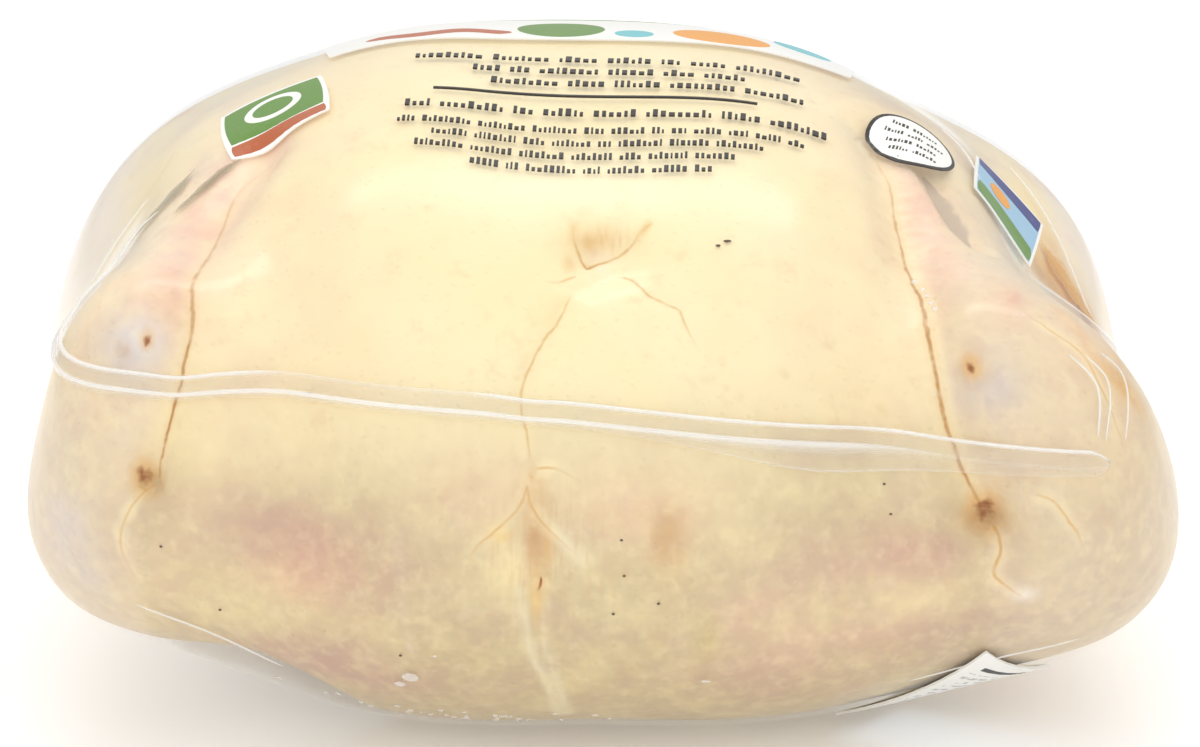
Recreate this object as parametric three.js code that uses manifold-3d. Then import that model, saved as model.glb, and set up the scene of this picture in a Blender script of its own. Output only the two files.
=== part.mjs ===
// A whole raw chicken, lying on its back, shrunk tight into a clear plastic bag.
//
// The neck end faces -Y, the tail +Y, and the breast is up (+Z). The origin is the middle of the
// base, on the surface that the bird lies on. Sizes are millimetres.
//
// The bag and the bird in it are one solid: a blend of the bird's masses, rounded over by the film
// that spans the hollows between them, with the two welded ends of the bag as flat ridges.
// The paper label on the underside is a second, thin solid that follows the film.

import * as THREE from "three";
import { mergeVertices } from "three/addons/utils/BufferGeometryUtils.js";
import Module from "manifold-3d";

// Driving sizes.
const FILM_SPAN = 22; // how widely the film rounds over a hollow
const CORE = new THREE.Vector3(0, 0, 56); // a point from which the whole skin can be seen
const REACH = 190; // farther from the core than any part of the bag
const SKIN_FACETS = 18; // splits of each side of an icosahedron's face
const DEGREE = Math.PI / 180;
const BIRD_AT = new THREE.Vector3(0.8, -7.3, 0); // puts the middle of its base on the origin

const SEAL_HALF_WIDTH = 2.3;
const SEAL_STANDS_OUT = 1.1; // at its thin middle
const SEAL_EDGE_BEAD = 0.7; // how much more its two edges stand out
const SEAL_ROOT = 1.2; // how deep it sinks into the bag
const SEAL_STEPS = 40;
const FLAP_WIDTH = 4; // the loose film that hangs from the neck end's seal

const LABEL_LENGTH = 34; // along Y before it is turned
const LABEL_WIDTH = 24;
const LABEL_CENTRE = { x: 67, y: -77 };
const LABEL_TURN = 54 * DEGREE; // about Z
const LABEL_THICKNESS = 0.5;
const LABEL_GAP = 0.35; // between the label and the film

// The masses are placed in the bird's own frame: x to its left and right, y from neck to tail.
// A mass is a function that gives a point's distance to it, negative inside.

// An ellipsoid. The distance is close enough near its surface.
function ball(centre, radii) {
  const middle = new THREE.Vector3(...centre);
  const radius = new THREE.Vector3(...radii);
  const radiusSquared = radius.clone().multiply(radius);
  const near = new THREE.Vector3();
  const scaled = new THREE.Vector3();
  return (point) => {
    near.subVectors(point, middle);
    const share = scaled.copy(near).divide(radius).length();
    const slope = scaled.copy(near).divide(radiusSquared).length();
    return slope > 0 ? (share * (share - 1)) / slope : -Math.min(...radii);
  };
}

// A round limb that tapers from one end to the other.
function limb(from, to, radiusFrom, radiusTo) {
  const bone = new THREE.Line3(new THREE.Vector3(...from), new THREE.Vector3(...to));
  const foot = new THREE.Vector3();
  return (point) => {
    const along = bone.closestPointToPointParameter(point, true);
    bone.at(along, foot);
    return foot.distanceTo(point) - THREE.MathUtils.lerp(radiusFrom, radiusTo, along);
  };
}

// The bird. A broiler isn't even: its left side, at -X, lies a little higher and fuller.
const bird = [
  ball([0, 0, 52], [84, 100, 53]), // rib cage and back
  ball([-38, -18, 70], [48, 84, 51]), // left breast
  ball([27, -18, 69], [48, 84, 50]), // right breast
  ball([-4, -72, 47], [72, 44, 43]), // crop and neck skin
  ball([0, 66, 54], [52, 54, 44]), // belly
  ball([-81, -72, 53], [27, 34, 27]), // left shoulder
  ball([81, -74, 49], [28, 34, 26]), // right shoulder
  limb([-92, -68, 40], [-90, -6, 46], 16, 14), // left drumette
  limb([93, -70, 37], [90, -6, 43], 16, 14), // right drumette
  limb([-90, -6, 52], [-84, -78, 71], 13, 14), // left forearm of the wing
  limb([90, -6, 50], [84, -78, 66], 13, 15), // right forearm of the wing
  limb([-82, -74, 78], [-72, -20, 95], 13, 9), // left wing tip
  limb([73, -78, 73], [60, -20, 95], 13, 9), // right wing tip
  ball([-74, 16, 68], [30, 42, 33]), // left knee
  ball([73, 16, 62], [29, 42, 30]), // right knee
  ball([-60, 46, 44], [42, 54, 38]), // left thigh
  ball([60, 46, 43], [42, 54, 37]), // right thigh
  limb([-74, 22, 70], [-29, 108, 58], 26, 12), // left drumstick
  limb([72, 22, 65], [29, 108, 56], 26, 12), // right drumstick
  ball([-25, 114, 58], [13, 13, 12]), // left hock
  ball([25, 114, 56], [13, 13, 12]), // right hock
  ball([0, 110, 30], [20, 18, 13]), // tail
];

// Where the film is stretched well clear of the meat.
const bridges = [
  ball([-8, 6, 58], [101, 92, 66]), // from knee to knee over the breast
  ball([-42, -34, 36], [46, 66, 32]), // under the left wing
  ball([44, -36, 35], [52, 66, 33]), // under the right wing
];

// Creases that the film is drawn down into. Each has a line, a depth and a half width.
const creases = [
  // Where a wing lies against the breast, from the wing tip down to the pit of the wing.
  crease([[-67, -47, 111], [-76, -67, 99], [-79, -98, 81], [-86, -106, 59]], 3.2, 6),
  crease([[54, -36, 112], [59, -64, 99], [63, -91, 85], [72, -107, 53]], 3.2, 6),
  // The two pits.
  crease([[-86, -106, 60], [-86, -106, 57]], 2.5, 7),
  crease([[72, -107, 54], [72, -107, 51]], 2.5, 7),
  // Where the skin of the neck was cut and folds shut, and its pucker above.
  crease([[-4, -93, 94], [-15, -113, 71], [-13, -119, 50], [-9, -110, 18]], 1.3, 5),
  crease([[-3, -88, 98], [4, -88, 98]], 2, 6),
];

function crease(line, depth, halfWidth) {
  const curve = new THREE.CatmullRomCurve3(line.map((at) => new THREE.Vector3(...at)));
  return { points: curve.getPoints(24), depth, halfWidth };
}

function blended(a, b) {
  const closeness = Math.max(FILM_SPAN - Math.abs(a - b), 0) / FILM_SPAN;
  return Math.min(a, b) - (closeness * closeness * FILM_SPAN) / 4;
}

// Distance to the shrunk bag, which stands on the plane z = 0.
function distanceToBag(point) {
  const round = [...bird, ...bridges].map((mass) => mass(point)).reduce(blended);
  return Math.max(round, -point.z);
}

function creaseDepthAt(point) {
  return creases.reduce((sum, { points, depth, halfWidth }) => {
    const away = Math.min(...points.map((at) => at.distanceTo(point)));
    return sum + depth * Math.exp(-((away / halfWidth) ** 2));
  }, 0);
}

// The first point of the bag that a straight line meets, coming in along `inward`.
function meetBag(start, inward) {
  const at = start.clone();
  for (let step = 0; step < 140; step += 1) {
    const gap = distanceToBag(at);
    if (gap < 1e-3) break;
    at.addScaledVector(inward, gap * 0.8);
  }
  return at.addScaledVector(inward, creaseDepthAt(at));
}

function outwardAt(point) {
  const step = 0.5;
  const slope = ["x", "y", "z"].map((axis) => {
    const ahead = point.clone();
    const behind = point.clone();
    ahead[axis] += step;
    behind[axis] -= step;
    return distanceToBag(ahead) - distanceToBag(behind);
  });
  return new THREE.Vector3(...slope).normalize();
}

function moveVertices(geometry, move) {
  const places = geometry.getAttribute("position");
  const at = new THREE.Vector3();
  for (let i = 0; i < places.count; i += 1) {
    at.fromBufferAttribute(places, i);
    places.setXYZ(i, ...move(at.clone()).toArray());
  }
  return geometry;
}

// A closed geometry whose vertices are shared between its faces.
function welded(geometry) {
  geometry.deleteAttribute("normal");
  geometry.deleteAttribute("uv");
  return mergeVertices(geometry, 1e-3);
}

function makeBag() {
  const stretch = new THREE.Vector3(112, 124, 64); // spreads the facets evenly over a long, low form
  const sphere = welded(new THREE.IcosahedronGeometry(1, SKIN_FACETS));
  return moveVertices(sphere, (at) => {
    const outward = at.multiply(stretch).normalize();
    const start = CORE.clone().addScaledVector(outward, REACH);
    const met = meetBag(start, outward.clone().negate());
    met.z = met.z < 0.01 ? 0 : met.z;
    return met;
  });
}

// A flat welded strip laid on the bag. `height` gives its middle, and `flap` how far it hangs
// lower, at each bearing about the upright line through (0, axisY), from -Y towards +X.
function makeSeal(axisY, fromBearing, toBearing, height, flap) {
  const strip = welded(new THREE.BoxGeometry(1, 1, 1, SEAL_STEPS, 4, 1));
  return moveVertices(strip, (at) => {
    const bearing = THREE.MathUtils.lerp(fromBearing, toBearing, at.x + 0.5);
    const across = at.y * 2;
    const outward = new THREE.Vector3(Math.sin(bearing), -Math.cos(bearing), 0);
    const lower = across < -0.9 ? flap(bearing) : 0;
    const level = height(bearing) + across * SEAL_HALF_WIDTH - lower;
    const start = new THREE.Vector3(0, axisY, level).addScaledVector(outward, REACH);
    const met = meetBag(start, outward.clone().negate());
    const bead = Math.abs(across) > 0.4 && Math.abs(across) < 0.6 ? SEAL_EDGE_BEAD : 0;
    const proud = at.z > 0 ? SEAL_STANDS_OUT + bead : -SEAL_ROOT;
    return met.addScaledVector(outwardAt(met), proud);
  });
}

// The open end of the bag, welded shut across the neck end. It slopes down to the right, where
// a flap of loose film hangs from it, and its left end hooks up.
function makeNeckSeal() {
  const level = (bearing) => {
    const b = bearing / DEGREE;
    return 73 - 0.15 * b - 0.0015 * b * b + 5 * Math.exp(-(((b + 66) / 7) ** 2));
  };
  const flap = (bearing) => FLAP_WIDTH * Math.exp(-(((bearing / DEGREE - 26) / 14) ** 2));
  return makeSeal(-20, -66 * DEGREE, 50 * DEGREE, level, flap);
}

// The closed end of the bag, welded in a shallow bow across the hocks.
function makeTailSeal() {
  const level = (bearing) => 66 - 5 * ((bearing / DEGREE - 180) / 38) ** 2;
  return makeSeal(40, 142 * DEGREE, 218 * DEGREE, level, () => 0);
}

// The height of the bag's underside above the floor.
function underside(x, y) {
  return meetBag(new THREE.Vector3(x, y, -60), new THREE.Vector3(0, 0, 1)).z;
}

function makeLabel() {
  const paper = welded(new THREE.BoxGeometry(1, 1, 1, 6, 10, 1));
  const turn = new THREE.Vector2(Math.cos(LABEL_TURN), Math.sin(LABEL_TURN));
  return moveVertices(paper, (at) => {
    const across = at.x * LABEL_WIDTH;
    const along = at.y * LABEL_LENGTH;
    const x = LABEL_CENTRE.x + across * turn.x - along * turn.y;
    const y = LABEL_CENTRE.y + across * turn.y + along * turn.x;
    const onFilm = new THREE.Vector3(x, y, underside(x, y));
    const proud = at.z > 0 ? LABEL_GAP : LABEL_GAP + LABEL_THICKNESS;
    return onFilm.addScaledVector(outwardAt(onFilm), proud);
  });
}

const wasm = await Module();
wasm.setup();

function solidFrom(geometry) {
  return new wasm.Manifold(
    new wasm.Mesh({
      numProp: 3,
      vertProperties: geometry.getAttribute("position").array,
      triVerts: new Uint32Array(geometry.index.array),
    }),
  );
}

function geometryFrom(solid) {
  const { vertProperties, triVerts } = solid.getMesh();
  const geometry = new THREE.BufferGeometry();
  geometry.setAttribute("position", new THREE.BufferAttribute(vertProperties, 3));
  geometry.setIndex(new THREE.BufferAttribute(triVerts, 1));
  geometry.computeVertexNormals();
  return geometry;
}

const skinInFilm = new THREE.MeshStandardMaterial({
  color: 0xf3e2b8,
  roughness: 0.3,
  metalness: 0,
});
const labelPaper = new THREE.MeshStandardMaterial({
  color: 0xf2f2ee,
  roughness: 0.7,
  metalness: 0,
});

function piece(name, geometry, material) {
  const mesh = new THREE.Mesh(geometry, material);
  mesh.name = name;
  return mesh;
}

const seals = solidFrom(makeNeckSeal()).add(solidFrom(makeTailSeal()));
const sealedBag = solidFrom(makeBag()).add(seals);

const chicken = new THREE.Group();
chicken.add(piece("bagged_chicken", geometryFrom(sealedBag), skinInFilm));
chicken.add(piece("underside_label", makeLabel(), labelPaper));
chicken.position.copy(BIRD_AT);

export default chicken;
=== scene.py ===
# %% [markdown]
# # A whole raw chicken, shrunk tight into a clear bag
#
# The bird lies on its back with its neck end towards us. The film of the bag was shrunk in hot
# water, so it is drawn flat against the skin, spans the hollows between wing, breast and leg, and
# is welded shut across the neck end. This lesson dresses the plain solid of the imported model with
# what the eye sees there: soft skin, the glassy film over it, its welds, and the print on it.
#
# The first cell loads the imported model. Its solids are already in place, in metres.

# %% Load the frame
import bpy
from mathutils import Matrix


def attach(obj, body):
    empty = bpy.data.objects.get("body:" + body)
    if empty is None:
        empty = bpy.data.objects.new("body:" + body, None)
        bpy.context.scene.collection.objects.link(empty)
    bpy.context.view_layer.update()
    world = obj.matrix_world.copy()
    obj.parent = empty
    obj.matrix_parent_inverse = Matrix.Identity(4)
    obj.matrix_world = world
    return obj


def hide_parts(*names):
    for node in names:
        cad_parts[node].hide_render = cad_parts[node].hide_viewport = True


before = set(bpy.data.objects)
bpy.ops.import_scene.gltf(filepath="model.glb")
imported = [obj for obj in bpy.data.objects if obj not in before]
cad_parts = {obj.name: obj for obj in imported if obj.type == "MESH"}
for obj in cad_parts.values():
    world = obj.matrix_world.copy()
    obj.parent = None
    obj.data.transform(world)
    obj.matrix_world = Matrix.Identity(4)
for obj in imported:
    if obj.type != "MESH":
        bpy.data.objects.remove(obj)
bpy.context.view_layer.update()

# %% [markdown]
# ## Working units
#
# Food is easier to think of in millimetres, so every size below is in millimetres and in the
# bird's own frame. One function turns such points into the frame's metres. The bird's frame is
# shifted a little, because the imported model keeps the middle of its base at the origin.

# %% Units and imports
import math
import random

import bmesh
import bpy
import numpy as np
from mathutils import Matrix, Vector, noise

MM = 0.001
BIRD_AT = np.array([0.8, -7.3, 0.0])


def in_metres(points):
    """Points of the bird's own frame, in millimetres, as the model's metres."""
    return (np.asarray(points, float) + BIRD_AT) * MM


# %% [markdown]
# ## The bird as a blend of simple masses
#
# A chicken is easy to get wrong as one sculpted lump, and easy to get right as anatomy: rib cage,
# two breast muscles, crop, shoulders, folded wings, thighs, drumsticks and tail. Each is an
# ellipsoid or a tapered limb, given as a function that returns how far a point is from its
# surface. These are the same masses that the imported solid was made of.

# %% Balls and limbs


def ball(centre, radii):
    """How far points are from an ellipsoid: below zero inside it."""
    centre, radii = np.array(centre, float), np.array(radii, float)

    def distance(points):
        near = points - centre
        share = np.linalg.norm(near / radii, axis=1)
        slope = np.linalg.norm(near / radii**2, axis=1)
        return share * (share - 1) / np.maximum(slope, 1e-9)

    return distance


def limb(start, end, start_radius, end_radius):
    """How far points are from a rounded limb that tapers from its start to its end."""
    start, end = np.array(start, float), np.array(end, float)
    bone = end - start

    def distance(points):
        along = np.clip((points - start) @ bone / (bone @ bone), 0, 1)
        foot = start + along[:, None] * bone
        radius = start_radius + (end_radius - start_radius) * along
        return np.linalg.norm(points - foot, axis=1) - radius

    return distance


test_gap = ball((0, 0, 0), (10, 10, 10))(np.array([[12.0, 0, 0]]))
print("a ball with a radius of 10 mm is", test_gap.round(2), "mm from x = 12")

# %% The masses of this bird
MASSES = {
    "rib_cage": ball((0, 0, 52), (84, 100, 53)),
    "left_breast": ball((-38, -18, 70), (48, 84, 51)),
    "right_breast": ball((27, -18, 69), (48, 84, 50)),
    "crop": ball((-4, -72, 47), (72, 44, 43)),
    "belly": ball((0, 66, 54), (52, 54, 44)),
    "left_shoulder": ball((-81, -72, 53), (27, 34, 27)),
    "right_shoulder": ball((81, -74, 49), (28, 34, 26)),
    "left_drumette": limb((-92, -68, 40), (-90, -6, 46), 16, 14),
    "right_drumette": limb((93, -70, 37), (90, -6, 43), 16, 14),
    "left_forearm": limb((-90, -6, 52), (-84, -78, 71), 13, 14),
    "right_forearm": limb((90, -6, 50), (84, -78, 66), 13, 15),
    "left_wing_tip": limb((-82, -74, 78), (-72, -20, 95), 13, 9),
    "right_wing_tip": limb((73, -78, 73), (60, -20, 95), 13, 9),
    "left_knee": ball((-74, 16, 68), (30, 42, 33)),
    "right_knee": ball((73, 16, 62), (29, 42, 30)),
    "left_thigh": ball((-60, 46, 44), (42, 54, 38)),
    "right_thigh": ball((60, 46, 43), (42, 54, 37)),
    "left_drumstick": limb((-74, 22, 70), (-29, 108, 58), 26, 12),
    "right_drumstick": limb((72, 22, 65), (29, 108, 56), 26, 12),
    "left_hock": ball((-25, 114, 58), (13, 13, 12)),
    "right_hock": ball((25, 114, 56), (13, 13, 12)),
    "tail": ball((0, 110, 30), (20, 18, 13)),
}
BRIDGES = [
    ball((-8, 6, 58), (101, 92, 66)),
    ball((-42, -34, 36), (46, 66, 32)),
    ball((44, -36, 35), (52, 66, 33)),
]
print("masses:", len(MASSES), "and film bridges:", len(BRIDGES))

# %% Blending


def blended(a, b, span):
    """The union of two forms, with the valley between them rounded over a span."""
    closeness = np.maximum(span - np.abs(a - b), 0) / span
    return np.minimum(a, b) - closeness**2 * span / 4


def distance_to_masses(points, span, extra=()):
    """How far points are from all masses blended into one form."""
    total = None
    for mass in [*MASSES.values(), *extra]:
        gap = mass(points)
        total = gap if total is None else blended(total, gap, span)
    return total


def soft_step(low, high, values):
    """0 below low, 1 above high, and a soft rise between them."""
    share = np.clip((values - low) / (high - low), 0, 1)
    return share * share * (3 - 2 * share)


print("half way up a soft step:", soft_step(0, 1, 0.5))

# %% [markdown]
# ## Two surfaces from one bird
#
# Shrunk film rounds widely over every hollow, so the bag is the same blend with a wide span, cut
# flat where it stands. The meat inside keeps narrow valleys. The bag squeezes it, so it swells
# out to meet the film and is pressed flat there, which is what makes a packed bird look tight.
# Towards the tail, and low at the left wing, the bird is looser in its bag and swells less. A
# cloth simulation could shrink the film too, but a formula gives the same film in every run.

# %% Film and meat as distance functions
FILM_SPAN = 22.0
MEAT_SPAN = 7.0
SKIN_UNDER_FILM = 0.7
PRESSED_SPAN = 2.0
TIGHT_SWELL = 15.0
LOOSE_SWELL = 3.0
# the stretch along Y, X and Z in which the bird changes between tight and loose
TAIL_LOOSENS = (10, 80)
LEFT_WING_LOOSENS = (-60, -20)
FLOOR_LOOSENS = (10, 40)
LEFT_GAP_HEIGHT = 34
CORE = np.array([0.0, 0.0, 56.0])


def film_distance(points):
    """How far points are from the film: below zero inside the bag."""
    round_form = distance_to_masses(points, FILM_SPAN, BRIDGES)
    return np.maximum(round_form, -points[:, 2])


def swell_at(points):
    """How far the squeezed bird swells out at each point."""
    before_tail = 1 - soft_step(*TAIL_LOOSENS, points[:, 1])
    left_gap = 1 - soft_step(*LEFT_WING_LOOSENS, points[:, 0])
    off_floor = soft_step(*FLOOR_LOOSENS, points[:, 2] + LEFT_GAP_HEIGHT * (1 - left_gap))
    return LOOSE_SWELL + (TIGHT_SWELL - LOOSE_SWELL) * before_tail * off_floor


def meat_distance(points):
    """How far points are from the skin, which swells but stays just under the film."""
    meat = distance_to_masses(points, MEAT_SPAN) - swell_at(points)
    pressed = film_distance(points) + SKIN_UNDER_FILM
    return -blended(-meat, -pressed, PRESSED_SPAN)


print("the middle of the bird is", round(float(-meat_distance(CORE[None])[0]), 1), "mm deep")

# %% [markdown]
# ## Shrinking a mesh on to a form
#
# Every closed surface here starts as a cube that a bmesh operator has cut into a fine grid. Each
# of its vertices gives a direction, and the vertex then travels in from outside along that
# direction until it meets the form, just as film does when it shrinks. A Shrinkwrap modifier
# would need a mesh to aim at, and this form is a formula. The same helpers give outward
# directions on the form, for welds and print that have to lie on it.

# %% Shrink-wrap helpers
STRETCH = np.array([112.0, 124.0, 64.0])
REACH = 190.0
SHARE_OF_GAP = 0.8
CLOSE_ENOUGH = 0.01


def travel(start, inward, distance, steps=90):
    """Moves points along their directions to the first surface that they meet."""
    at = np.array(start, float)
    moving = np.arange(len(at))
    for _ in range(steps):
        gap = distance(at[moving])
        at[moving] += inward[moving] * (gap * SHARE_OF_GAP)[:, None]
        moving = moving[np.abs(gap) > CLOSE_ENOUGH]
        if not len(moving):
            break
    return at


def outward_at(points, distance, step=0.6):
    """The direction straight out of a form at each point."""
    slope = [distance(points + axis * step) - distance(points - axis * step) for axis in np.eye(3)]
    slope = np.stack(slope, axis=1)
    return slope / np.linalg.norm(slope, axis=1)[:, None]


def wrap(cube_points, distance):
    """Shrinks the points of a cube that reaches from -1 to 1 on to a form."""
    even = np.tan(cube_points * math.pi / 4)
    aim = even / np.linalg.norm(even, axis=1)[:, None] * STRETCH
    aim /= np.linalg.norm(aim, axis=1)[:, None]
    return travel(CORE + aim * REACH, -aim, distance)


top = travel(CORE[None] + [[0, 0, REACH]], np.array([[0.0, 0, -1]]), film_distance)[0]
print("the film over the middle is", round(float(top[2]), 1), "mm high")

# %% Mesh helpers


def grid_cube(cuts):
    """A cube from -1 to 1 whose sides are cut into grids, with so many cuts across X, Y and Z."""
    shape = bmesh.new()
    bmesh.ops.create_cube(shape, size=2)
    for axis, count in enumerate(cuts):
        lengthwise = [
            edge for edge in shape.edges
            if abs((edge.verts[0].co - edge.verts[1].co)[axis]) > 1e-6
        ]
        if count:
            bmesh.ops.subdivide_edges(shape, edges=lengthwise, cuts=count, use_grid_fill=True)
    return shape


def mesh_from(shape, name):
    mesh = bpy.data.meshes.new(name)
    shape.to_mesh(mesh)
    shape.free()
    return mesh


def get_points(mesh):
    flat = np.empty(len(mesh.vertices) * 3)
    mesh.vertices.foreach_get("co", flat)
    return flat.reshape(-1, 3)


def set_points(mesh, points):
    mesh.vertices.foreach_set("co", np.ascontiguousarray(points, dtype=np.float32).ravel())
    mesh.update()


def face_outwards(mesh):
    shape = bmesh.new()
    shape.from_mesh(mesh)
    bmesh.ops.recalc_face_normals(shape, faces=shape.faces)
    shape.to_mesh(mesh)
    shape.free()


# %% Pieces and noise


def set_values(mesh, name, values):
    """Keeps a number or a colour for each vertex, which a material can read by its name."""
    kind = "FLOAT" if values.ndim == 1 else "FLOAT_COLOR"
    if kind == "FLOAT_COLOR":
        values = np.column_stack([values, np.ones(len(values))])
    layer = mesh.attributes.new(name, kind, "POINT")
    key = "value" if kind == "FLOAT" else "color"
    layer.data.foreach_set(key, np.ascontiguousarray(values, dtype=np.float32).ravel())


def add_piece(name, mesh, material, smooth=True):
    """Puts a mesh and its material in the scene, as a piece that rides on the model's one body."""
    piece = bpy.data.objects.new(name, mesh)
    bpy.context.scene.collection.objects.link(piece)
    mesh.materials.append(material)
    if smooth:
        mesh.shade_smooth()
    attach(piece, "root")
    print(name, "has", len(mesh.polygons), "faces")
    return piece


def cloudy(points, size, seed, octaves=3):
    """Smooth noise from -1 to 1 whose clouds are about `size` millimetres across."""
    shift = Vector((seed * 17.3, seed * 5.1, seed * 9.7))
    return np.array([
        noise.fractal(Vector(point) / size + shift, 1.0, 2.0, octaves) for point in points
    ])


print("clouds at the middle:", cloudy(CORE[None], 20.0, seed=0).round(2))

# %% [markdown]
# ## Lines on the form
#
# Creases, hollows, folds and strands all run along lines on the bird. A line is given by a few
# points that a smooth curve is drawn through. Points of a mesh are then measured against it, but
# only those near it, so that a hundred thousand of them take no time.

# %% Curves and distances to them


def smooth_curve(line, steps=14):
    """Points along a smooth curve through the given ones."""
    line = [np.array(at, float) for at in line]
    ends = [2 * line[0] - line[1], *line, 2 * line[-1] - line[-2]]
    found = []
    for before, start, end, after in zip(ends, ends[1:], ends[2:], ends[3:]):
        for t in np.arange(steps) / steps:
            found.append(
                0.5 * (2 * start + (end - before) * t
                       + (2 * before - 5 * start + 4 * end - after) * t**2
                       + (3 * start - before - 3 * end + after) * t**3)
            )
    return np.array([*found, line[-1]])


def near_curve(points, curve, reach):
    """Which points lie near a curve, how far off they are, and the nearest step along it."""
    low, high = curve.min(axis=0) - reach, curve.max(axis=0) + reach
    near = np.where(np.all((points > low) & (points < high), axis=1))[0]
    gaps = np.linalg.norm(points[near][:, None] - curve[None], axis=2)
    return near, gaps.min(axis=1), gaps.argmin(axis=1)


def laid_on(line, distance, from_outside=30):
    """A smooth curve that is moved straight in or out until it lies on a form."""
    curve = smooth_curve(line, 8)
    outward = outward_at(curve, distance)
    return travel(curve + outward * from_outside, -outward, distance)


def along_line(points, line, half_width, power=2, form=None):
    """1 on a line, falling to 0 beyond its half width; a high power gives a flat middle."""
    curve = laid_on(line, form) if form else smooth_curve(line, 8)
    share = np.zeros(len(points))
    near, gap, _ = near_curve(points, curve, half_width * 2.5)
    share[near] = np.exp(-((gap / half_width) ** power))
    return share


def hump(points, centre, radii):
    """1 at the centre, falling softly to 0 about a radius away."""
    return np.exp(-np.sum(((points - np.array(centre)) / np.array(radii)) ** 2, axis=1))


print("a curve through three points has", len(smooth_curve([(0, 0, 0), (1, 0, 0), (2, 1, 0)])), "steps")

# %% [markdown]
# ## Creases
#
# What says chicken at the neck end is a handful of creases: the long one where each wing lies
# against the breast, which ends in a dark pit, the puckered hole where the neck was trimmed, and
# the cut in the neck skin that runs down from it. For each vertex we keep how far to the side of
# a crease it lies, and how strong the crease is there, so that the mesh can sink into a groove
# and the material can draw a line that is finer than the mesh. A line alone would look painted
# on, and a groove alone would be too wide and soft.
# The line and its warm halo are partly the crease's own colour and partly painted shade, and its pale rim is
# a painted highlight.

# %% Crease curves
FAR_ASIDE = 99.0


class Crease:
    """A line on the skin with a depth and half width in millimetres and a warmth of colour.

    Lines that meet run towards and away from each other in turn: then the signed distance to the
    nearest one has the same sign on both sides of the gap, and no false line is drawn there.
    """

    REACH = 14
    FADES_OFF_LINE = (6, 12)
    FADES_PAST_END = (0.5, 2.5)

    def __init__(self, line, depth, half_width, warmth, fade_in=0.1, fade_out=0.1):
        self.points = smooth_curve(line)
        self.depth, self.half_width, self.warmth = depth, half_width, warmth
        self.fade_in, self.fade_out = fade_in, fade_out

    def measure(self, points):
        """How far each point lies to the side of the line, and how strong the line is there."""
        aside = np.full(len(points), FAR_ASIDE)
        strength = np.zeros(len(points))
        near, gap, nearest = near_curve(points, self.points, self.REACH)
        here = points[near]
        ahead = np.gradient(self.points, axis=0)
        ahead /= np.linalg.norm(ahead, axis=1)[:, None]
        outward = here - CORE
        outward /= np.linalg.norm(outward, axis=1)[:, None]
        sideways = np.cross(ahead[nearest], outward)
        sideways /= np.linalg.norm(sideways, axis=1)[:, None]
        offset = here - self.points[nearest]
        aside[near] = np.sum(offset * sideways, axis=1)
        beyond = np.abs(np.sum(offset * ahead[nearest], axis=1))
        along = nearest / (len(self.points) - 1)
        ends = soft_step(0, self.fade_in, along) * soft_step(0, self.fade_out, 1 - along)
        on_line = 1 - soft_step(*self.FADES_OFF_LINE, gap)
        strength[near] = ends * on_line * (1 - soft_step(*self.FADES_PAST_END, beyond))
        return aside, strength


print("a crease reaches", Crease.REACH, "mm to each side")

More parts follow.
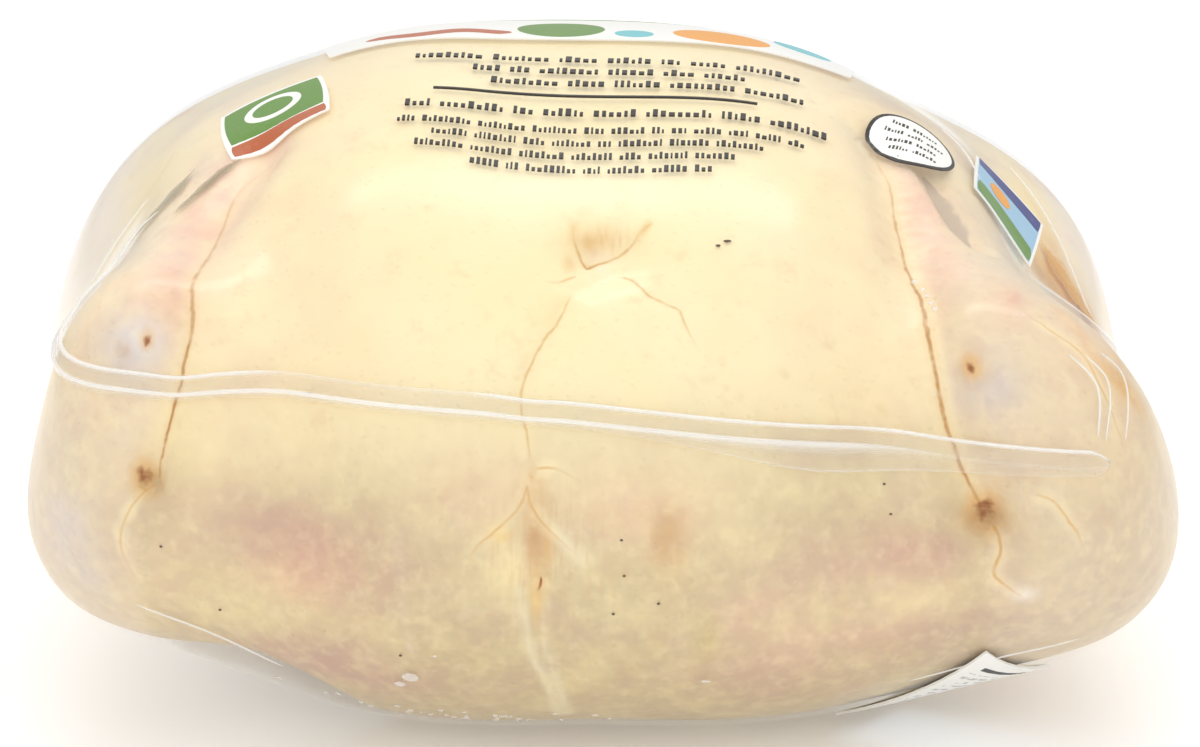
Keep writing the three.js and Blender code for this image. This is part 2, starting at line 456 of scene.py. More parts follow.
# %% The creases of this bird
CREASES = {
    # line, depth, half width, warmth, and over what share of its length it fades in and out
    "left_wing": Crease(
        [(-60, -38, 116), (-67, -47, 111), (-73, -53, 105), (-76, -67, 99), (-78, -90, 91),
         (-79, -98, 81), (-82, -103, 71), (-86, -106, 59)],
        0.7, 1.5, 0.55, 0.85, 0.02),
    "left_wing_low": Crease(
        [(-87, -106, 58), (-90, -105, 54), (-92, -103, 46), (-89, -100, 38), (-86, -96, 32)],
        0.4, 1.8, 0.06, 0.05, 0.7),
    "right_wing": Crease(
        [(50, -28, 115), (54, -36, 112), (58, -48, 106), (60, -58, 103), (62, -77, 92),
         (63, -91, 85), (65, -100, 74), (68, -104, 63), (72, -107, 53)],
        0.7, 1.5, 0.5, 0.6, 0.02),
    "right_wing_low": Crease(
        [(73, -107, 51), (76, -108, 46), (75, -107, 41), (78, -106, 38), (81, -104, 36)],
        0.6, 1.6, 0.25, 0.05, 0.3),
    "pucker_up_left": Crease([(-3, -86, 99), (-5, -81, 101), (-5, -78, 103)], 0.8, 1.6, 0.2, 0.05, 0.7),
    "pucker_up_right": Crease(
        [(9, -79, 104), (6, -83, 101), (2, -85, 99), (-3, -86, 99)], 0.9, 1.6, 0.24, 0.5, 0.05),
    "pucker_left": Crease([(-11, -90, 95), (-8, -89, 95), (-4, -88, 97)], 0.4, 1.5, 0.08, 0.8, 0.05),
    "neck_cut": Crease(
        [(-5, -91, 95), (-8, -97, 89), (-10, -99, 87), (-12, -102, 84), (-14, -105, 80),
         (-15, -108, 76), (-14, -112, 71), (-13, -114, 65)],
        0.6, 1.3, 0.12, 0.08, 0.05),
    "pucker_right": Crease(
        [(3, -88, 97), (6, -90, 96), (9, -93, 93), (12, -96, 92), (15, -98, 91), (17, -101, 87),
         (19, -104, 83)],
        0.45, 1.3, 0.16, 0.05, 0.4),
    "neck_flap_left": Crease(
        [(-13, -114, 64), (-14, -115, 60), (-16, -116, 56), (-20, -116, 52), (-24, -116, 48),
         (-26, -114, 40)],
        0.9, 1.8, 0.16, 0.1, 0.5),
    "neck_flap_right": Crease(
        [(-2.5, -117, 46), (-6, -117, 49.5), (-10, -116, 53), (-13, -116, 57), (-13.5, -115, 60),
         (-13, -114, 63)],
        0.8, 1.8, 0.14, 0.6, 0.1),
    "neck_lobe": Crease([(-12.7, -114, 64), (-8, -114, 64), (-2.5, -115, 61)], 0.3, 1.4, 0.08, 0.1, 0.6),
    "right_vein": Crease(
        [(79.6, -104, 57.5), (82.7, -103, 55.5), (85, -103, 52.6), (87, -102, 49.4), (88, -100, 45)],
        0.25, 1.2, 0.1, 0.2, 0.4),
    "right_wing_fold": Crease(
        [(80, -86, 89), (83, -88, 87.6), (88, -90, 85), (92.7, -90, 80.7), (95, -92, 74.7), (96.6, -93, 68),
         (97, -94, 62)],
        0.5, 1.5, 0.06, 0.3, 0.2),
    "neck_slit": Crease([(-11.2, -117, 43.5), (-11.4, -117, 41.5), (-12, -116, 39)], 0.9, 0.9, 0.9, 0.3, 0.4),
}
print("creases:", ", ".join(CREASES))

# %% [markdown]
# ## Where film and skin part
#
# Film can't reach the bottom of a crease, but it is drawn a few millimetres into the long ones.
# These are the dips of the imported solid, and both film and skin follow them. In a narrow hollow
# beside the right wing the skin stays away from the film, and the shade there is painted on the
# skin as a grey wedge.

# %% Dips and hollows
DIPS = [
    # line, depth, half width
    ([(-67, -47, 111), (-76, -67, 99), (-79, -98, 81), (-86, -106, 59)], 3.2, 6.0),
    ([(54, -36, 112), (59, -64, 99), (63, -91, 85), (72, -107, 53)], 3.2, 6.0),
    ([(-86, -106, 60), (-86, -106, 57)], 2.5, 7.0),
    ([(72, -107, 54), (72, -107, 51)], 2.5, 7.0),
    ([(-4, -93, 94), (-15, -113, 71), (-13, -119, 50), (-9, -110, 18)], 1.3, 5.0),
    ([(-3, -88, 98), (4, -88, 98)], 2.0, 6.0),
]
HOLLOWS = [
    # line, depth, half width
    ([(66, -38, 107), (69, -46, 103), (72, -53, 99), (75, -57, 96)], 2.4, 3.6),
]


def drawn_in(points):
    """How far the film dips at each point."""
    return sum(depth * along_line(points, line, width) for line, depth, width in DIPS)


def hollow_depth(points):
    """How far the skin stays under the film in the hollow beside the right wing."""
    return sum(
        depth * along_line(points, line, width, 4, meat_distance) for line, depth, width in HOLLOWS)


def hollow_steps(points):
    """Distance to the nearest hollow's line, where 1 is its edge. Each narrows to its two ends."""
    steps = np.full(len(points), 4.0)
    for line, _, half_width in HOLLOWS:
        curve = laid_on(line, meat_distance)
        near, gap, nearest = near_curve(points, curve, 4 * half_width)
        width = half_width * (0.15 + 0.85 * np.sin(math.pi * nearest / (len(curve) - 1)))
        steps[near] = np.minimum(steps[near], gap / width)
    return steps


def on_film(points, outward, lift, from_outside=60):
    """Brings points in along their outward directions to rest so far above the film."""
    at = travel(points + outward * from_outside, -outward, film_distance)
    return at - outward * (drawn_in(at) - lift)[:, None]


print("dips:", len(DIPS), "hollows:", len(HOLLOWS))

# %% [markdown]
# ## The skin's shape
#
# The skin is one closed mesh of just under 200,000 triangles, with more of them across the neck
# end, where it is seen closest. After it is wrapped on to the meat it gets what a sculptor would
# add with a brush: grooves along the creases, two pits under the wings, the pucker's knot, the
# lump of fat in the neck, the loose strands under it, and the slight waviness of skin over muscle.
# The strokes stand in tables, so that each can be moved or made deeper without sculpting again.

# %% Wrap the skin
SKIN_CUTS = (158, 128, 95)
skin_mesh = mesh_from(grid_cube(SKIN_CUTS), "bird_skin")
skin = wrap(get_points(skin_mesh), meat_distance)
skin_out = outward_at(skin, meat_distance)
print("skin vertices:", len(skin), "height:", round(float(skin[:, 2].max()), 1))

# %% Measure the creases on it
GROOVE_SHARPNESS = 1.3
LINE_FADES = (1.6, 2.6)
nearest_aside = np.full(len(skin), FAR_ASIDE)
crease_strength = np.zeros(len(skin))
crease_warmth = np.zeros(len(skin))
sink = drawn_in(skin) + hollow_depth(skin)
for crease in CREASES.values():
    aside, strength = crease.measure(skin)
    sink += crease.depth * strength * np.exp(-np.abs(aside / crease.half_width) ** GROOVE_SHARPNESS)
    closer = (strength > 0.001) & (np.abs(aside) < np.abs(nearest_aside))
    nearest_aside[closer] = aside[closer]
    beside = 1 - soft_step(*LINE_FADES, np.abs(aside))
    crease_strength[closer] = (strength * beside)[closer]
    crease_warmth[closer] = crease.warmth
print("deepest crease:", round(float(sink.max()), 2), "mm")

# %% Pits and lumps
PITS = [
    # centre, radii, depth
    ((-86, -106, 58.5), (2.4, 6, 2.6), 3.0),
    ((72.5, -107, 52), (3.4, 6, 3.2), 4.0),
    ((-3, -86, 99), (3.4, 5, 2.0), 1.6),
    ((-11, -117, 51), (2.4, 5, 8), 1.0),
    ((-20, -116, 42), (7, 8, 9), 0.5),
]
LUMPS = [
    ((0, -88, 97.5), (2.6, 4, 1.6), 1.2),
    ((-5, -89, 96), (2.2, 4, 1.4), 0.6),
    ((-18, -116, 51), (4.0, 6, 3.0), 0.7),
    ((-8, -117, 55), (2.0, 6, 5), 0.6),
    ((-86, -95, 84), (1.6, 3, 1.8), 0.4),
    ((70, -97, 79), (1.8, 3, 2.0), 0.5),
    ((80, -105, 37), (2.2, 4, 1.6), 0.8),
]
NECK_STRIP_EDGES = [
    [(-14.4, -115, 57), (-15.2, -117, 49), (-15.4, -116, 41), (-14.8, -115, 34)],
    [(-9.4, -117, 52), (-9.3, -117, 45), (-9.9, -116, 38)],
]
STRANDS = [
    # line, height (a groove where it is below zero), half width
    *[(edge, -0.35, 1.0) for edge in NECK_STRIP_EDGES],
    ([(-14.8, -116, 40), (-14, -115, 33), (-13, -113, 25.5), (-9.6, -106, 16), (-7.6, -96, 8)], 0.7, 1.1),
    ([(-10, -116, 38), (-10.6, -115, 33), (-10.4, -113, 27), (-7.6, -106, 16), (-6, -96, 8)], 0.6, 1.0),
    ([(-12.6, -115, 60), (-11, -117, 55), (-7, -117, 51), (-3, -117, 47)], 0.4, 1.5),
]
DARK_SPOTS_AND_PIT_SHADE = [
    # centre, radii
    # the first two are painted shade in the pits under the wings, the others brown spots at the wing wrists
    ((-86, -104, 58.5), (1.3, 14, 1.8)),
    ((72.5, -105, 52), (1.9, 14, 2.1)),
    ((-85.5, -95, 84), (0.8, 5, 0.9)),
    ((70, -97, 79), (1.0, 5, 1.0)),
]
print("pits:", len(PITS), "lumps:", len(LUMPS), "strands:", len(STRANDS))

# %% Sink and raise the skin
WAVE_SIZE = 26.0
WAVE_HEIGHT = 0.2
HIGHEST_LUMP = 0.5
SKIN_OFF_FLOOR = 0.6
for centre, radii, depth in PITS:
    sink += depth * hump(skin, centre, radii)
for centre, radii, height in LUMPS:
    sink -= height * hump(skin, centre, radii)
for line, height, half_width in STRANDS:
    sink -= height * along_line(skin, line, half_width, form=meat_distance)
wedges = hollow_steps(skin)

waviness = cloudy(skin, WAVE_SIZE, seed=1, octaves=2)
sink += WAVE_HEIGHT * (1 + waviness)
skin = skin - skin_out * np.maximum(sink, -HIGHEST_LUMP)[:, None]
skin[:, 2] = np.maximum(skin[:, 2], SKIN_OFF_FLOOR)
set_points(skin_mesh, in_metres(skin))
set_values(skin_mesh, "hollow_steps", wedges)
set_values(skin_mesh, "crease_aside", nearest_aside)
set_values(skin_mesh, "crease_strength", crease_strength)
set_values(skin_mesh, "crease_warmth", crease_warmth)
spot_and_pit_shade_steps = [np.linalg.norm((skin - np.array(at)) / np.array(radii), axis=1) for at, radii in DARK_SPOTS_AND_PIT_SHADE]
set_values(skin_mesh, "spot_and_pit_shade_steps", np.minimum(np.min(spot_and_pit_shade_steps, axis=0), 9))
print("skin from", skin.min(axis=0).round(1), "to", skin.max(axis=0).round(1), "mm")

# %% [markdown]
# ## The skin's colour
#
# Raw chicken skin isn't one colour. Over the breast, fat lies under it and makes it a pale cream
# yellow. Over the wings it is thin, and lets pink muscle and bluish cartilage show. Low at the
# neck the meat itself shows through, in soft mauve clouds. The colour is mixed for each vertex
# from a few named tones: broad regions first, then bands and small blots with cloudy edges. The
# strands, and the grooves beside the strip of flesh in the neck cut, get the pale tone of sinew.
# A painted picture would need the skin laid out flat, and a colour for each vertex doesn't.
# Towards the bottom the tones are darker: partly thin skin over meat, and partly painted shade.

# %% Tones


def tone(red, green, blue):
    """An sRGB colour from 0 to 255 as the linear values that a shader works in."""
    share = np.array([red, green, blue]) / 255
    return np.where(share <= 0.04045, share / 12.92, ((share + 0.055) / 1.055) ** 2.4)


CREAM = tone(251, 236, 193)
BUTTER = tone(248, 228, 174)
PALE_NECK_AND_SHADE = tone(207, 189, 149)
BLUSH = tone(242, 222, 190)
PEACH = tone(238, 204, 170)
ROSE = tone(220, 164, 140)
MAUVE = tone(194, 160, 142)
LAVENDER = tone(212, 200, 194)
PEARL = tone(246, 236, 230)
AMBER = tone(224, 176, 106)
OCHRE = tone(220, 170, 84)
TAN = tone(214, 178, 130)
GOLD = tone(236, 198, 120)
PINK = tone(240, 200, 182)
OLIVE_SHADE = tone(164, 152, 124)
SHADED = tone(184, 166, 148)
KHAKI = tone(200, 180, 126)
DEEP_NECK_AND_SHADE = tone(184, 162, 122)
UMBER = tone(190, 144, 100)
SINEW = tone(234, 224, 190)
RUST = tone(150, 88, 44)
GRISTLE = tone(230, 226, 226)
RED_SPOT = tone(214, 112, 98)
SAND_AND_SHADE = tone(216, 194, 164)
print("cream as the shader has it:", CREAM.round(3))

# %% Regions
# the stretch in which each region fades, in height, from front to back, or to the side
LOW_RISE = (42, 82)
NECK_RISE = (14, 40)
BACK_RISE = (0, 36)
OUTER_RISE = (50, 76)
FRONT_DEPTH = (-70, -20)
WING_DEPTH = (-44, -30)
FLANK_DEPTH = (-38, -20)
FLANK_SIDE = (58, 72)
BREAST_SIDE = (15, 60)
OUTER_SIDE = (88, 104)


def beyond_wing_crease(points, side, crease):
    """How far a point lies outside the crease of its wing, level by level."""
    line = CREASES[crease].points
    order = line[:, 2].argsort()
    edge = np.interp(points[:, 2], line[order, 2], side * line[order, 0])
    return side * points[:, 0] - edge


skin_x, skin_y, skin_z = skin.T
clouds = cloudy(skin, 22.0, seed=2, octaves=4)
fine_clouds = cloudy(skin, 6.0, seed=3)
mottles = cloudy(skin, 9.0, seed=4, octaves=4)
low = 1 - soft_step(*LOW_RISE, skin_z + 6 * clouds)
front = 1 - soft_step(*FRONT_DEPTH, skin_y)
wing = np.maximum(
    soft_step(0, 3, beyond_wing_crease(skin, -1, "left_wing")),
    soft_step(0, 3, beyond_wing_crease(skin, 1, "right_wing")),
) * (1 - soft_step(*WING_DEPTH, skin_y + 4 * clouds))
flank = soft_step(*FLANK_DEPTH, skin_y + 5 * clouds) * soft_step(*FLANK_SIDE, np.abs(skin_x) + 4 * clouds)
breast_sides = soft_step(*BREAST_SIDE, np.abs(skin_x + 6)) * (1 - flank)
neck_floor = front * (1 - soft_step(*NECK_RISE, skin_z + 5 * clouds))
outermost = soft_step(*OUTER_SIDE, np.abs(skin_x) + 6 * clouds) * soft_step(*OUTER_RISE, skin_z + 8 * clouds)
back = (1 - front) * (1 - soft_step(*BACK_RISE, skin_z))
thin_skin = np.maximum(low, 0.8 * wing)
print("share of the skin that is wing:", round(float(wing.mean()), 2))

# %% Tones of the regions
LAYERS = [
    # tone, share
    (BUTTER, 0.3 + 0.4 * clouds),
    (PEACH, breast_sides * (0.3 + 0.2 * mottles)),
    # darker low skin and neck floor: thin skin over meat, and partly painted shade
    (PALE_NECK_AND_SHADE, low),
    (DEEP_NECK_AND_SHADE, 0.4 * neck_floor),
    (BLUSH, wing * (0.75 + 0.3 * clouds) * (1 - 0.7 * low)),
    (MAUVE, 0.3 * thin_skin * soft_step(0.0, 0.6, mottles)),
    (BUTTER, 0.25 * thin_skin * soft_step(0.05, 0.6, -mottles)),
    (PEACH, wing * soft_step(0.0, 0.6, fine_clouds) * 0.4),
    (LAVENDER, wing * soft_step(0.0, 0.6, -clouds) * 0.25),
    # sand over the wings; low on the left wing it is partly painted shade
    (SAND_AND_SHADE, wing * np.where(skin_x > 0, 0.45, 0.45 * low)),
    (BLUSH, flank * (0.6 + 0.6 * mottles)),
    (ROSE, 0.35 * flank * soft_step(0.1, 0.7, mottles) * soft_step(-0.2, 0.5, clouds)),
    (PEARL, flank * outermost * 0.6),
    (MAUVE, 0.4 * back),
]


def mixed(colours, towards, share):
    """Each vertex's colour moved its share of the way towards a tone."""
    share = np.clip(share, 0, 1)[:, None]
    return colours * (1 - share) + towards * share


flesh = np.tile(CREAM, (len(skin), 1))
for colour, share in LAYERS:
    flesh = mixed(flesh, colour, share)
print("layers of tone:", len(LAYERS))

# %% Blots
BLOTS = [
    # tone, centre, radii, strength, how cloudy
    (ROSE, (-54, -108, 44), (13, 20, 8), 0.6, 1.0),
    (MAUVE, (-68, -106, 48), (20, 20, 8), 0.55, 1.0),
    (MAUVE, (-40, -110, 44), (14, 20, 10), 0.35, 1.0),
    (MAUVE, (-52, -101, 22), (16, 20, 7), 0.75, 1.0),
    (MAUVE, (-82, -98, 36), (5, 20, 7), 0.5, 1.0),
    (LAVENDER, (-100, -88, 44), (8, 20, 16), 0.55, 1.0),
    (MAUVE, (34, -108, 22), (16, 20, 8), 0.65, 1.0),
    (MAUVE, (56, -108, 44), (16, 20, 9), 0.55, 1.0),
    (ROSE, (58, -107, 46), (10, 20, 6), 0.15, 1.0),
    (MAUVE, (62, -102, 28), (16, 20, 7), 0.55, 1.0),
    (PEACH, (40, -111, 34), (18, 20, 12), 0.5, 1.0),
    (BUTTER, (-70, -102, 36), (16, 20, 8), 0.35, 1.0),
    (BUTTER, (58, -106, 36), (16, 20, 5), 0.35, 1.0),
    (BUTTER, (-78, -108, 64), (9, 10, 22), 0.3, 0.8),
    (PEACH, (-22, -113, 60), (11, 10, 8), 0.5, 0.6),
    (PEACH, (6, -115, 58), (13, 10, 9), 0.6, 0.6),
    (UMBER, (12, -116, 51.5), (2.4, 10, 5), 0.6, 1.0),
    (TAN, (13, -116, 48), (4.4, 10, 9), 0.5, 1.0),
    (KHAKI, (20, -111, 30), (2.4, 10, 6), 0.6, 0.8),
    (GOLD, (-18.5, -116, 51.5), (2.2, 6, 1.6), 0.9, 0.3),
    (BUTTER, (-17, -116, 45), (5, 6, 6), 0.8, 0.3),
    (TAN, (-12.0, -117, 51), (2.5, 8, 9.5), 0.95, 0.3),
    (UMBER, (-12.2, -117, 53), (1.6, 8, 7), 0.7, 0.5),
    (AMBER, (-9.6, -117, 50), (0.9, 8, 4.4), 0.8, 0.4),
    (AMBER, (-12, -115, 59), (1.6, 8, 5), 0.5, 0.4),
    (GOLD, (-11.8, -117, 39), (1.2, 8, 6), 0.8, 0.3),
    (ROSE, (-80, -89, 91), (4, 12, 6), 0.55, 0.8),
    (ROSE, (-76, -62, 102), (5, 16, 8), 0.35, 0.8),
    (PEACH, (-83, -92, 88), (6, 14, 7), 0.6, 0.6),
    (LAVENDER, (-89, -95, 82), (7, 12, 6), 0.85, 0.4),
    (GRISTLE, (-87, -95, 84), (5, 12, 4), 0.5, 0.4),
    (MAUVE, (-90, -95, 82), (1.6, 6, 1.4), 0.7, 0.3),
    (AMBER, (-91, -79, 94), (1.0, 4, 1.0), 0.6, 0.2),
    (LAVENDER, (73, -98, 76), (7, 12, 6), 0.8, 0.5),
    (AMBER, (70, -97, 79), (2.4, 6, 2.6), 0.85, 0.3),
    (ROSE, (78, -83, 90.5), (5, 12, 5), 0.45, 0.8),
    (RED_SPOT, (79, -83, 90), (1.6, 5, 1.2), 0.8, 0.3),
    (ROSE, (62, -58, 102), (4, 12, 5), 0.5, 0.7),
    (RED_SPOT, (62, -56, 103), (1.4, 5, 1.0), 0.5, 0.3),
    (ROSE, (63, -76, 93), (4, 14, 10), 0.4, 0.8),
    (BLUSH, (80, -70, 96), (12, 20, 10), 0.6, 0.8),
    # the two sand blots here are painted shade: the grey-beige of a hollow beside the right wing
    (SAND_AND_SHADE, (62, -14, 113), (17, 13, 9), 0.95, 0.3),
    (BUTTER, (88, -12, 93), (6, 22, 9), 0.8, 0.6),
    (SAND_AND_SHADE, (78, -20, 101), (8, 14, 7), 0.7, 0.4),
    (SHADED, (98, -85, 34), (16, 24, 14), 0.35, 1.0),
    (SHADED, (78, -98, 24), (14, 24, 9), 0.5, 0.8),
    # the amber blots along the right wing's edge are orange skin, and partly painted shade
    (AMBER, (96, -20, 77), (7, 10, 10), 0.5, 0.6),
    (PEACH, (92, -84, 84), (6, 14, 8), 0.7, 0.8),
    (AMBER, (99, -84, 78), (3.0, 12, 8), 0.35, 0.8),
    (BUTTER, (-91, -28, 98), (5, 18, 10), 0.8, 0.4),
    # amber round the two pits under the wings: the skin's colour, and partly painted shade
    (AMBER, (-86, -106, 61), (2.0, 12, 4), 0.3, 0.6),
    (AMBER, (73, -107, 54), (3.2, 12, 5), 0.35, 0.6),
    (AMBER, (0, -84, 100.5), (5, 10, 2.2), 0.8, 0.6),
    (OCHRE, (-3, -86, 99), (1.8, 6, 1.5), 0.8, 0.4),
    (OCHRE, (-5.6, -87, 96.4), (1.3, 6, 1.3), 0.6, 0.4),
    (PINK, (-0.5, -87, 97.4), (3.6, 6, 1.1), 0.6, 0.5),
    (PEARL, (-1.6, -88.5, 96.6), (2.6, 6, 1.1), 0.85, 0.2),
    (PEARL, (80, -105, 37), (2.4, 6, 1.6), 0.8, 0.2),
    (GRISTLE, (-25, 124, 58), (9, 5, 9), 0.8, 0.3),
    (ROSE, (-25, 126, 58), (4, 4, 4), 0.6, 0.4),
    (GRISTLE, (25, 124, 56), (9, 5, 9), 0.8, 0.3),
    (ROSE, (25, 126, 56), (4, 4, 4), 0.6, 0.4),
    (AMBER, (0, 124, 32), (14, 12, 8), 0.35, 0.8),
    (MAUVE, (-70, 70, 20), (30, 40, 16), 0.4, 1.0),
    (MAUVE, (72, 60, 22), (30, 40, 16), 0.4, 1.0),
    (ROSE, (-66, 74, 56), (16, 22, 12), 0.3, 1.0),
    (ROSE, (64, 78, 54), (16, 22, 12), 0.3, 1.0),
]
print("blots:", len(BLOTS))

# %% Bands
BANDS = [
    # tone, line, half width, strength
    (PINK, [(-66, -42, 112), (-74, -50, 107), (-79, -66, 100), (-82, -86, 93)], 6.0, 0.7),
    (PINK, [(57, -34, 111), (63, -46, 107), (66, -58, 103), (68, -74, 96)], 5.0, 0.6),
    (ROSE, [(-74, -58, 104), (-79, -80, 95), (-81, -92, 88)], 2.6, 0.5),
    # these amber and umber bands along the right wing's edge are the orange skin of a fold, and partly
    # painted shade
    (AMBER, [(88, -26, 86), (92, -24, 82), (96, -23, 77), (100, -22, 71), (104, -22, 65)], 6.0, 0.9),
    (UMBER, [(90, -27, 83), (93, -26, 79), (97, -25, 75), (101, -24, 69)], 3.0, 0.75),
    (AMBER, [(89, -80, 87), (92, -85, 83), (95, -88, 79), (99, -87, 74), (102, -84, 68)], 2.6, 0.7),
    (SINEW, [(-37.5, -111, 51), (-37, -111, 38), (-35.5, -107, 26)], 0.9, 0.45),
    (OCHRE, [(-5, -91, 95), (-10, -99, 87), (-14, -105, 80), (-15, -108, 76)], 1.2, 0.7),
    (TAN, [(-13.6, -115, 61), (-12.6, -117, 54), (-11.8, -117, 47), (-12, -117, 41)], 1.7, 0.8),
    *[(UMBER, edge, 0.8, 0.5) for edge in NECK_STRIP_EDGES],
    (OCHRE, [(-3, -86, 99), (-5, -81, 101), (-5, -78, 103)], 0.8, 0.5),
    (OCHRE, [(-3, -86, 99), (2, -85, 99), (6, -83, 101), (9, -79, 104)], 0.8, 0.6),
    (MAUVE, [(28, -112, 36), (38, -111, 43), (52, -109, 46), (64, -108, 47)], 6.0, 0.5),
    (MAUVE, [(34, -106, 24), (46, -106, 29), (60, -104, 30), (72, -103, 30)], 5.0, 0.45),
    (MAUVE, [(-80, -107, 56), (-65, -107, 52), (-52, -108, 45), (-42, -109, 39)], 6.0, 0.45),
    (MAUVE, [(-66, -98, 20), (-52, -100, 19), (-38, -103, 17), (-26, -105, 16)], 4.0, 0.5),
    # amber along the right wing's edge: orange skin, and partly painted shade
    (AMBER, [(88, -10, 91), (95, -18, 80), (100, -20, 72), (105, -18, 63)], 7.0, 0.6),
]
print("bands:", len(BANDS))

# %% Paint the skin
SINEW_SHARE = 0.7
for colour, line, half_width, strength in BANDS:
    edge = 1 + 0.5 * clouds + 0.6 * fine_clouds
    flesh = mixed(flesh, colour, strength * along_line(skin, line, half_width, form=meat_distance) * edge)
for colour, centre, radii, strength, cloudiness in BLOTS:
    edge = 1 + cloudiness * (0.8 * clouds + 0.5 * fine_clouds)
    flesh = mixed(flesh, colour, strength * hump(skin, centre, radii) * edge)
for line, _, half_width in STRANDS:
    flesh = mixed(flesh, SINEW, SINEW_SHARE * along_line(skin, line, half_width, form=meat_distance))
set_values(skin_mesh, "flesh", flesh)
set_values(skin_mesh, "thin_skin", thin_skin)
streaked = hump(skin, (-9, -117, 46), (12, 12, 13)) + hump(skin, (0, -84, 100.5), (6, 8, 2.4))
set_values(skin_mesh, "streaked", np.clip(streaked, 0, 1))
print("skin tones from", flesh.min(axis=0).round(2), "to", flesh.max(axis=0).round(2))

# %% [markdown]
# ## Building materials
#
# A material is a small graph of nodes. This helper adds one node and wires it in the same call:
# a value that is a socket is linked, and anything else is set on the node's own socket.

# %% Finish helper


class Finish:
    def __init__(self, name):
        self.material = bpy.data.materials.new(name)
        self.material.use_nodes = True
        self.tree = self.material.node_tree
        self.tree.nodes.clear()

    def add(self, kind, inputs=(), out=0, **settings):
        """Adds a node with its inputs wired or set, and returns the output that is asked for."""
        node = self.tree.nodes.new("ShaderNode" + kind)
        for key, value in settings.items():
            setattr(node, key, value)
        pairs = inputs.items() if isinstance(inputs, dict) else enumerate(inputs)
        for key, value in pairs:
            if isinstance(value, bpy.types.NodeSocket):
                self.tree.links.new(value, node.inputs[key])
            elif value is not None:
                node.inputs[key].default_value = value
        return node.outputs[out]

    def attribute(self, name, out="Fac"):
        return self.add("Attribute", out=out, attribute_name=name)

    def maths(self, operation, *values):
        return self.add("Math", values, operation=operation)

    def ramp(self, value, low, high, to_low=0.0, to_high=1.0):
        """A value that goes softly from one number to another between low and high."""
        inputs = {"Value": value, "From Min": low, "From Max": high, "To Min": to_low, "To Max": to_high}
        return self.add("MapRange", inputs, interpolation_type="SMOOTHSTEP")

    def clouds(self, size, detail=3.0, roughness=0.5, out="Fac"):
        """Noise whose clouds are about `size` millimetres across, fixed to the object."""
        place = self.add("TexCoord", out="Object")
        inputs = {"Vector": place, "Scale": 1 / (size * MM), "Detail": detail, "Roughness": roughness}
        return self.add("TexNoise", inputs, out=out)

    def blend(self, share, first, second):
        """A colour between two colours."""
        node = self.tree.nodes.new("ShaderNodeMix")
        node.data_type = "RGBA"
        for socket, value in ((node.inputs[0], share), (node.inputs[6], first), (node.inputs[7], second)):
            if isinstance(value, bpy.types.NodeSocket):
                self.tree.links.new(value, socket)
            else:
                socket.default_value = value
        return node.outputs[2]

    def done(self, surface):
        output = self.tree.nodes.new("ShaderNodeOutputMaterial")
        self.tree.links.new(surface, output.inputs["Surface"])
        return self.material


def rgba(colour):
    return (*[float(part) for part in colour], 1.0)


print("cream as a socket takes it:", rgba(CREAM.round(3)))

# %% [markdown]
# ## The skin's material
#
# Skin is wet, soft and slightly see-through: light enters it, spreads a few millimetres and comes
# out warmer. That is subsurface scattering. Over the painted tones the material adds what is
# finer than the mesh: pale lobules of fat, follicles, and the thin brown line at the bottom of
# each crease, which wanders a little and breaks up into beads. The line and its warm halo are
# partly the crease's own colour and partly painted shade, and its pale rim is a painted
# highlight. All of it is noise and distance, so it stays sharp however close the camera comes.

# %% What the skin's colour is made of
# how big each kind of cloud, thread, bead or pore is, in millimetres
LOBULE = 3.4
FLECK = 7.0
PATCH = 3.2
THREAD = 0.9
BEAD = 4.0
WANDER = 3.0
FOLLICLE = 2.3


def with_fat(finish, base):
    """Pale lobules of fat, tan flecks, and lighter and darker patches where the skin is thin."""
    lobules = finish.ramp(finish.clouds(LOBULE, 4, 0.6), 0.46, 0.7)
    base = finish.blend(finish.maths("MULTIPLY", lobules, 0.2), base, rgba(CREAM))
    flecks = finish.ramp(finish.clouds(FLECK, 5, 0.7), 0.54, 0.72)
    base = finish.blend(finish.maths("MULTIPLY", flecks, 0.22), base, rgba(TAN))
    patches = finish.ramp(finish.clouds(PATCH, 3, 0.55), 0.36, 0.64, -0.08, 0.12)
    patches = finish.maths("MULTIPLY", patches, finish.attribute("thin_skin"))
    darker = finish.maths("MULTIPLY", patches, -1.0)
    base = finish.blend(finish.maths("MAXIMUM", patches, 0.0), base, rgba(BUTTER))
    return finish.blend(finish.maths("MAXIMUM", darker, 0.0), base, rgba(MAUVE))


def with_threads(finish, base):
    """Fine threads of flesh, drawn out from top to bottom, at the neck and in the pucker."""
    place = finish.add("TexCoord", out="Object")
    drawn_out = finish.add("Mapping", {"Vector": place, "Scale": (1.0, 0.2, 0.12)})
    grain = {"Vector": drawn_out, "Scale": 1 / (THREAD * MM), "Detail": 3.0}
    threads = finish.ramp(finish.add("TexNoise", grain, out="Fac"), 0.45, 0.7, 0.0, 0.5)
    threads = finish.maths("MULTIPLY", threads, finish.attribute("streaked"))
    return finish.blend(threads, base, rgba(TAN))


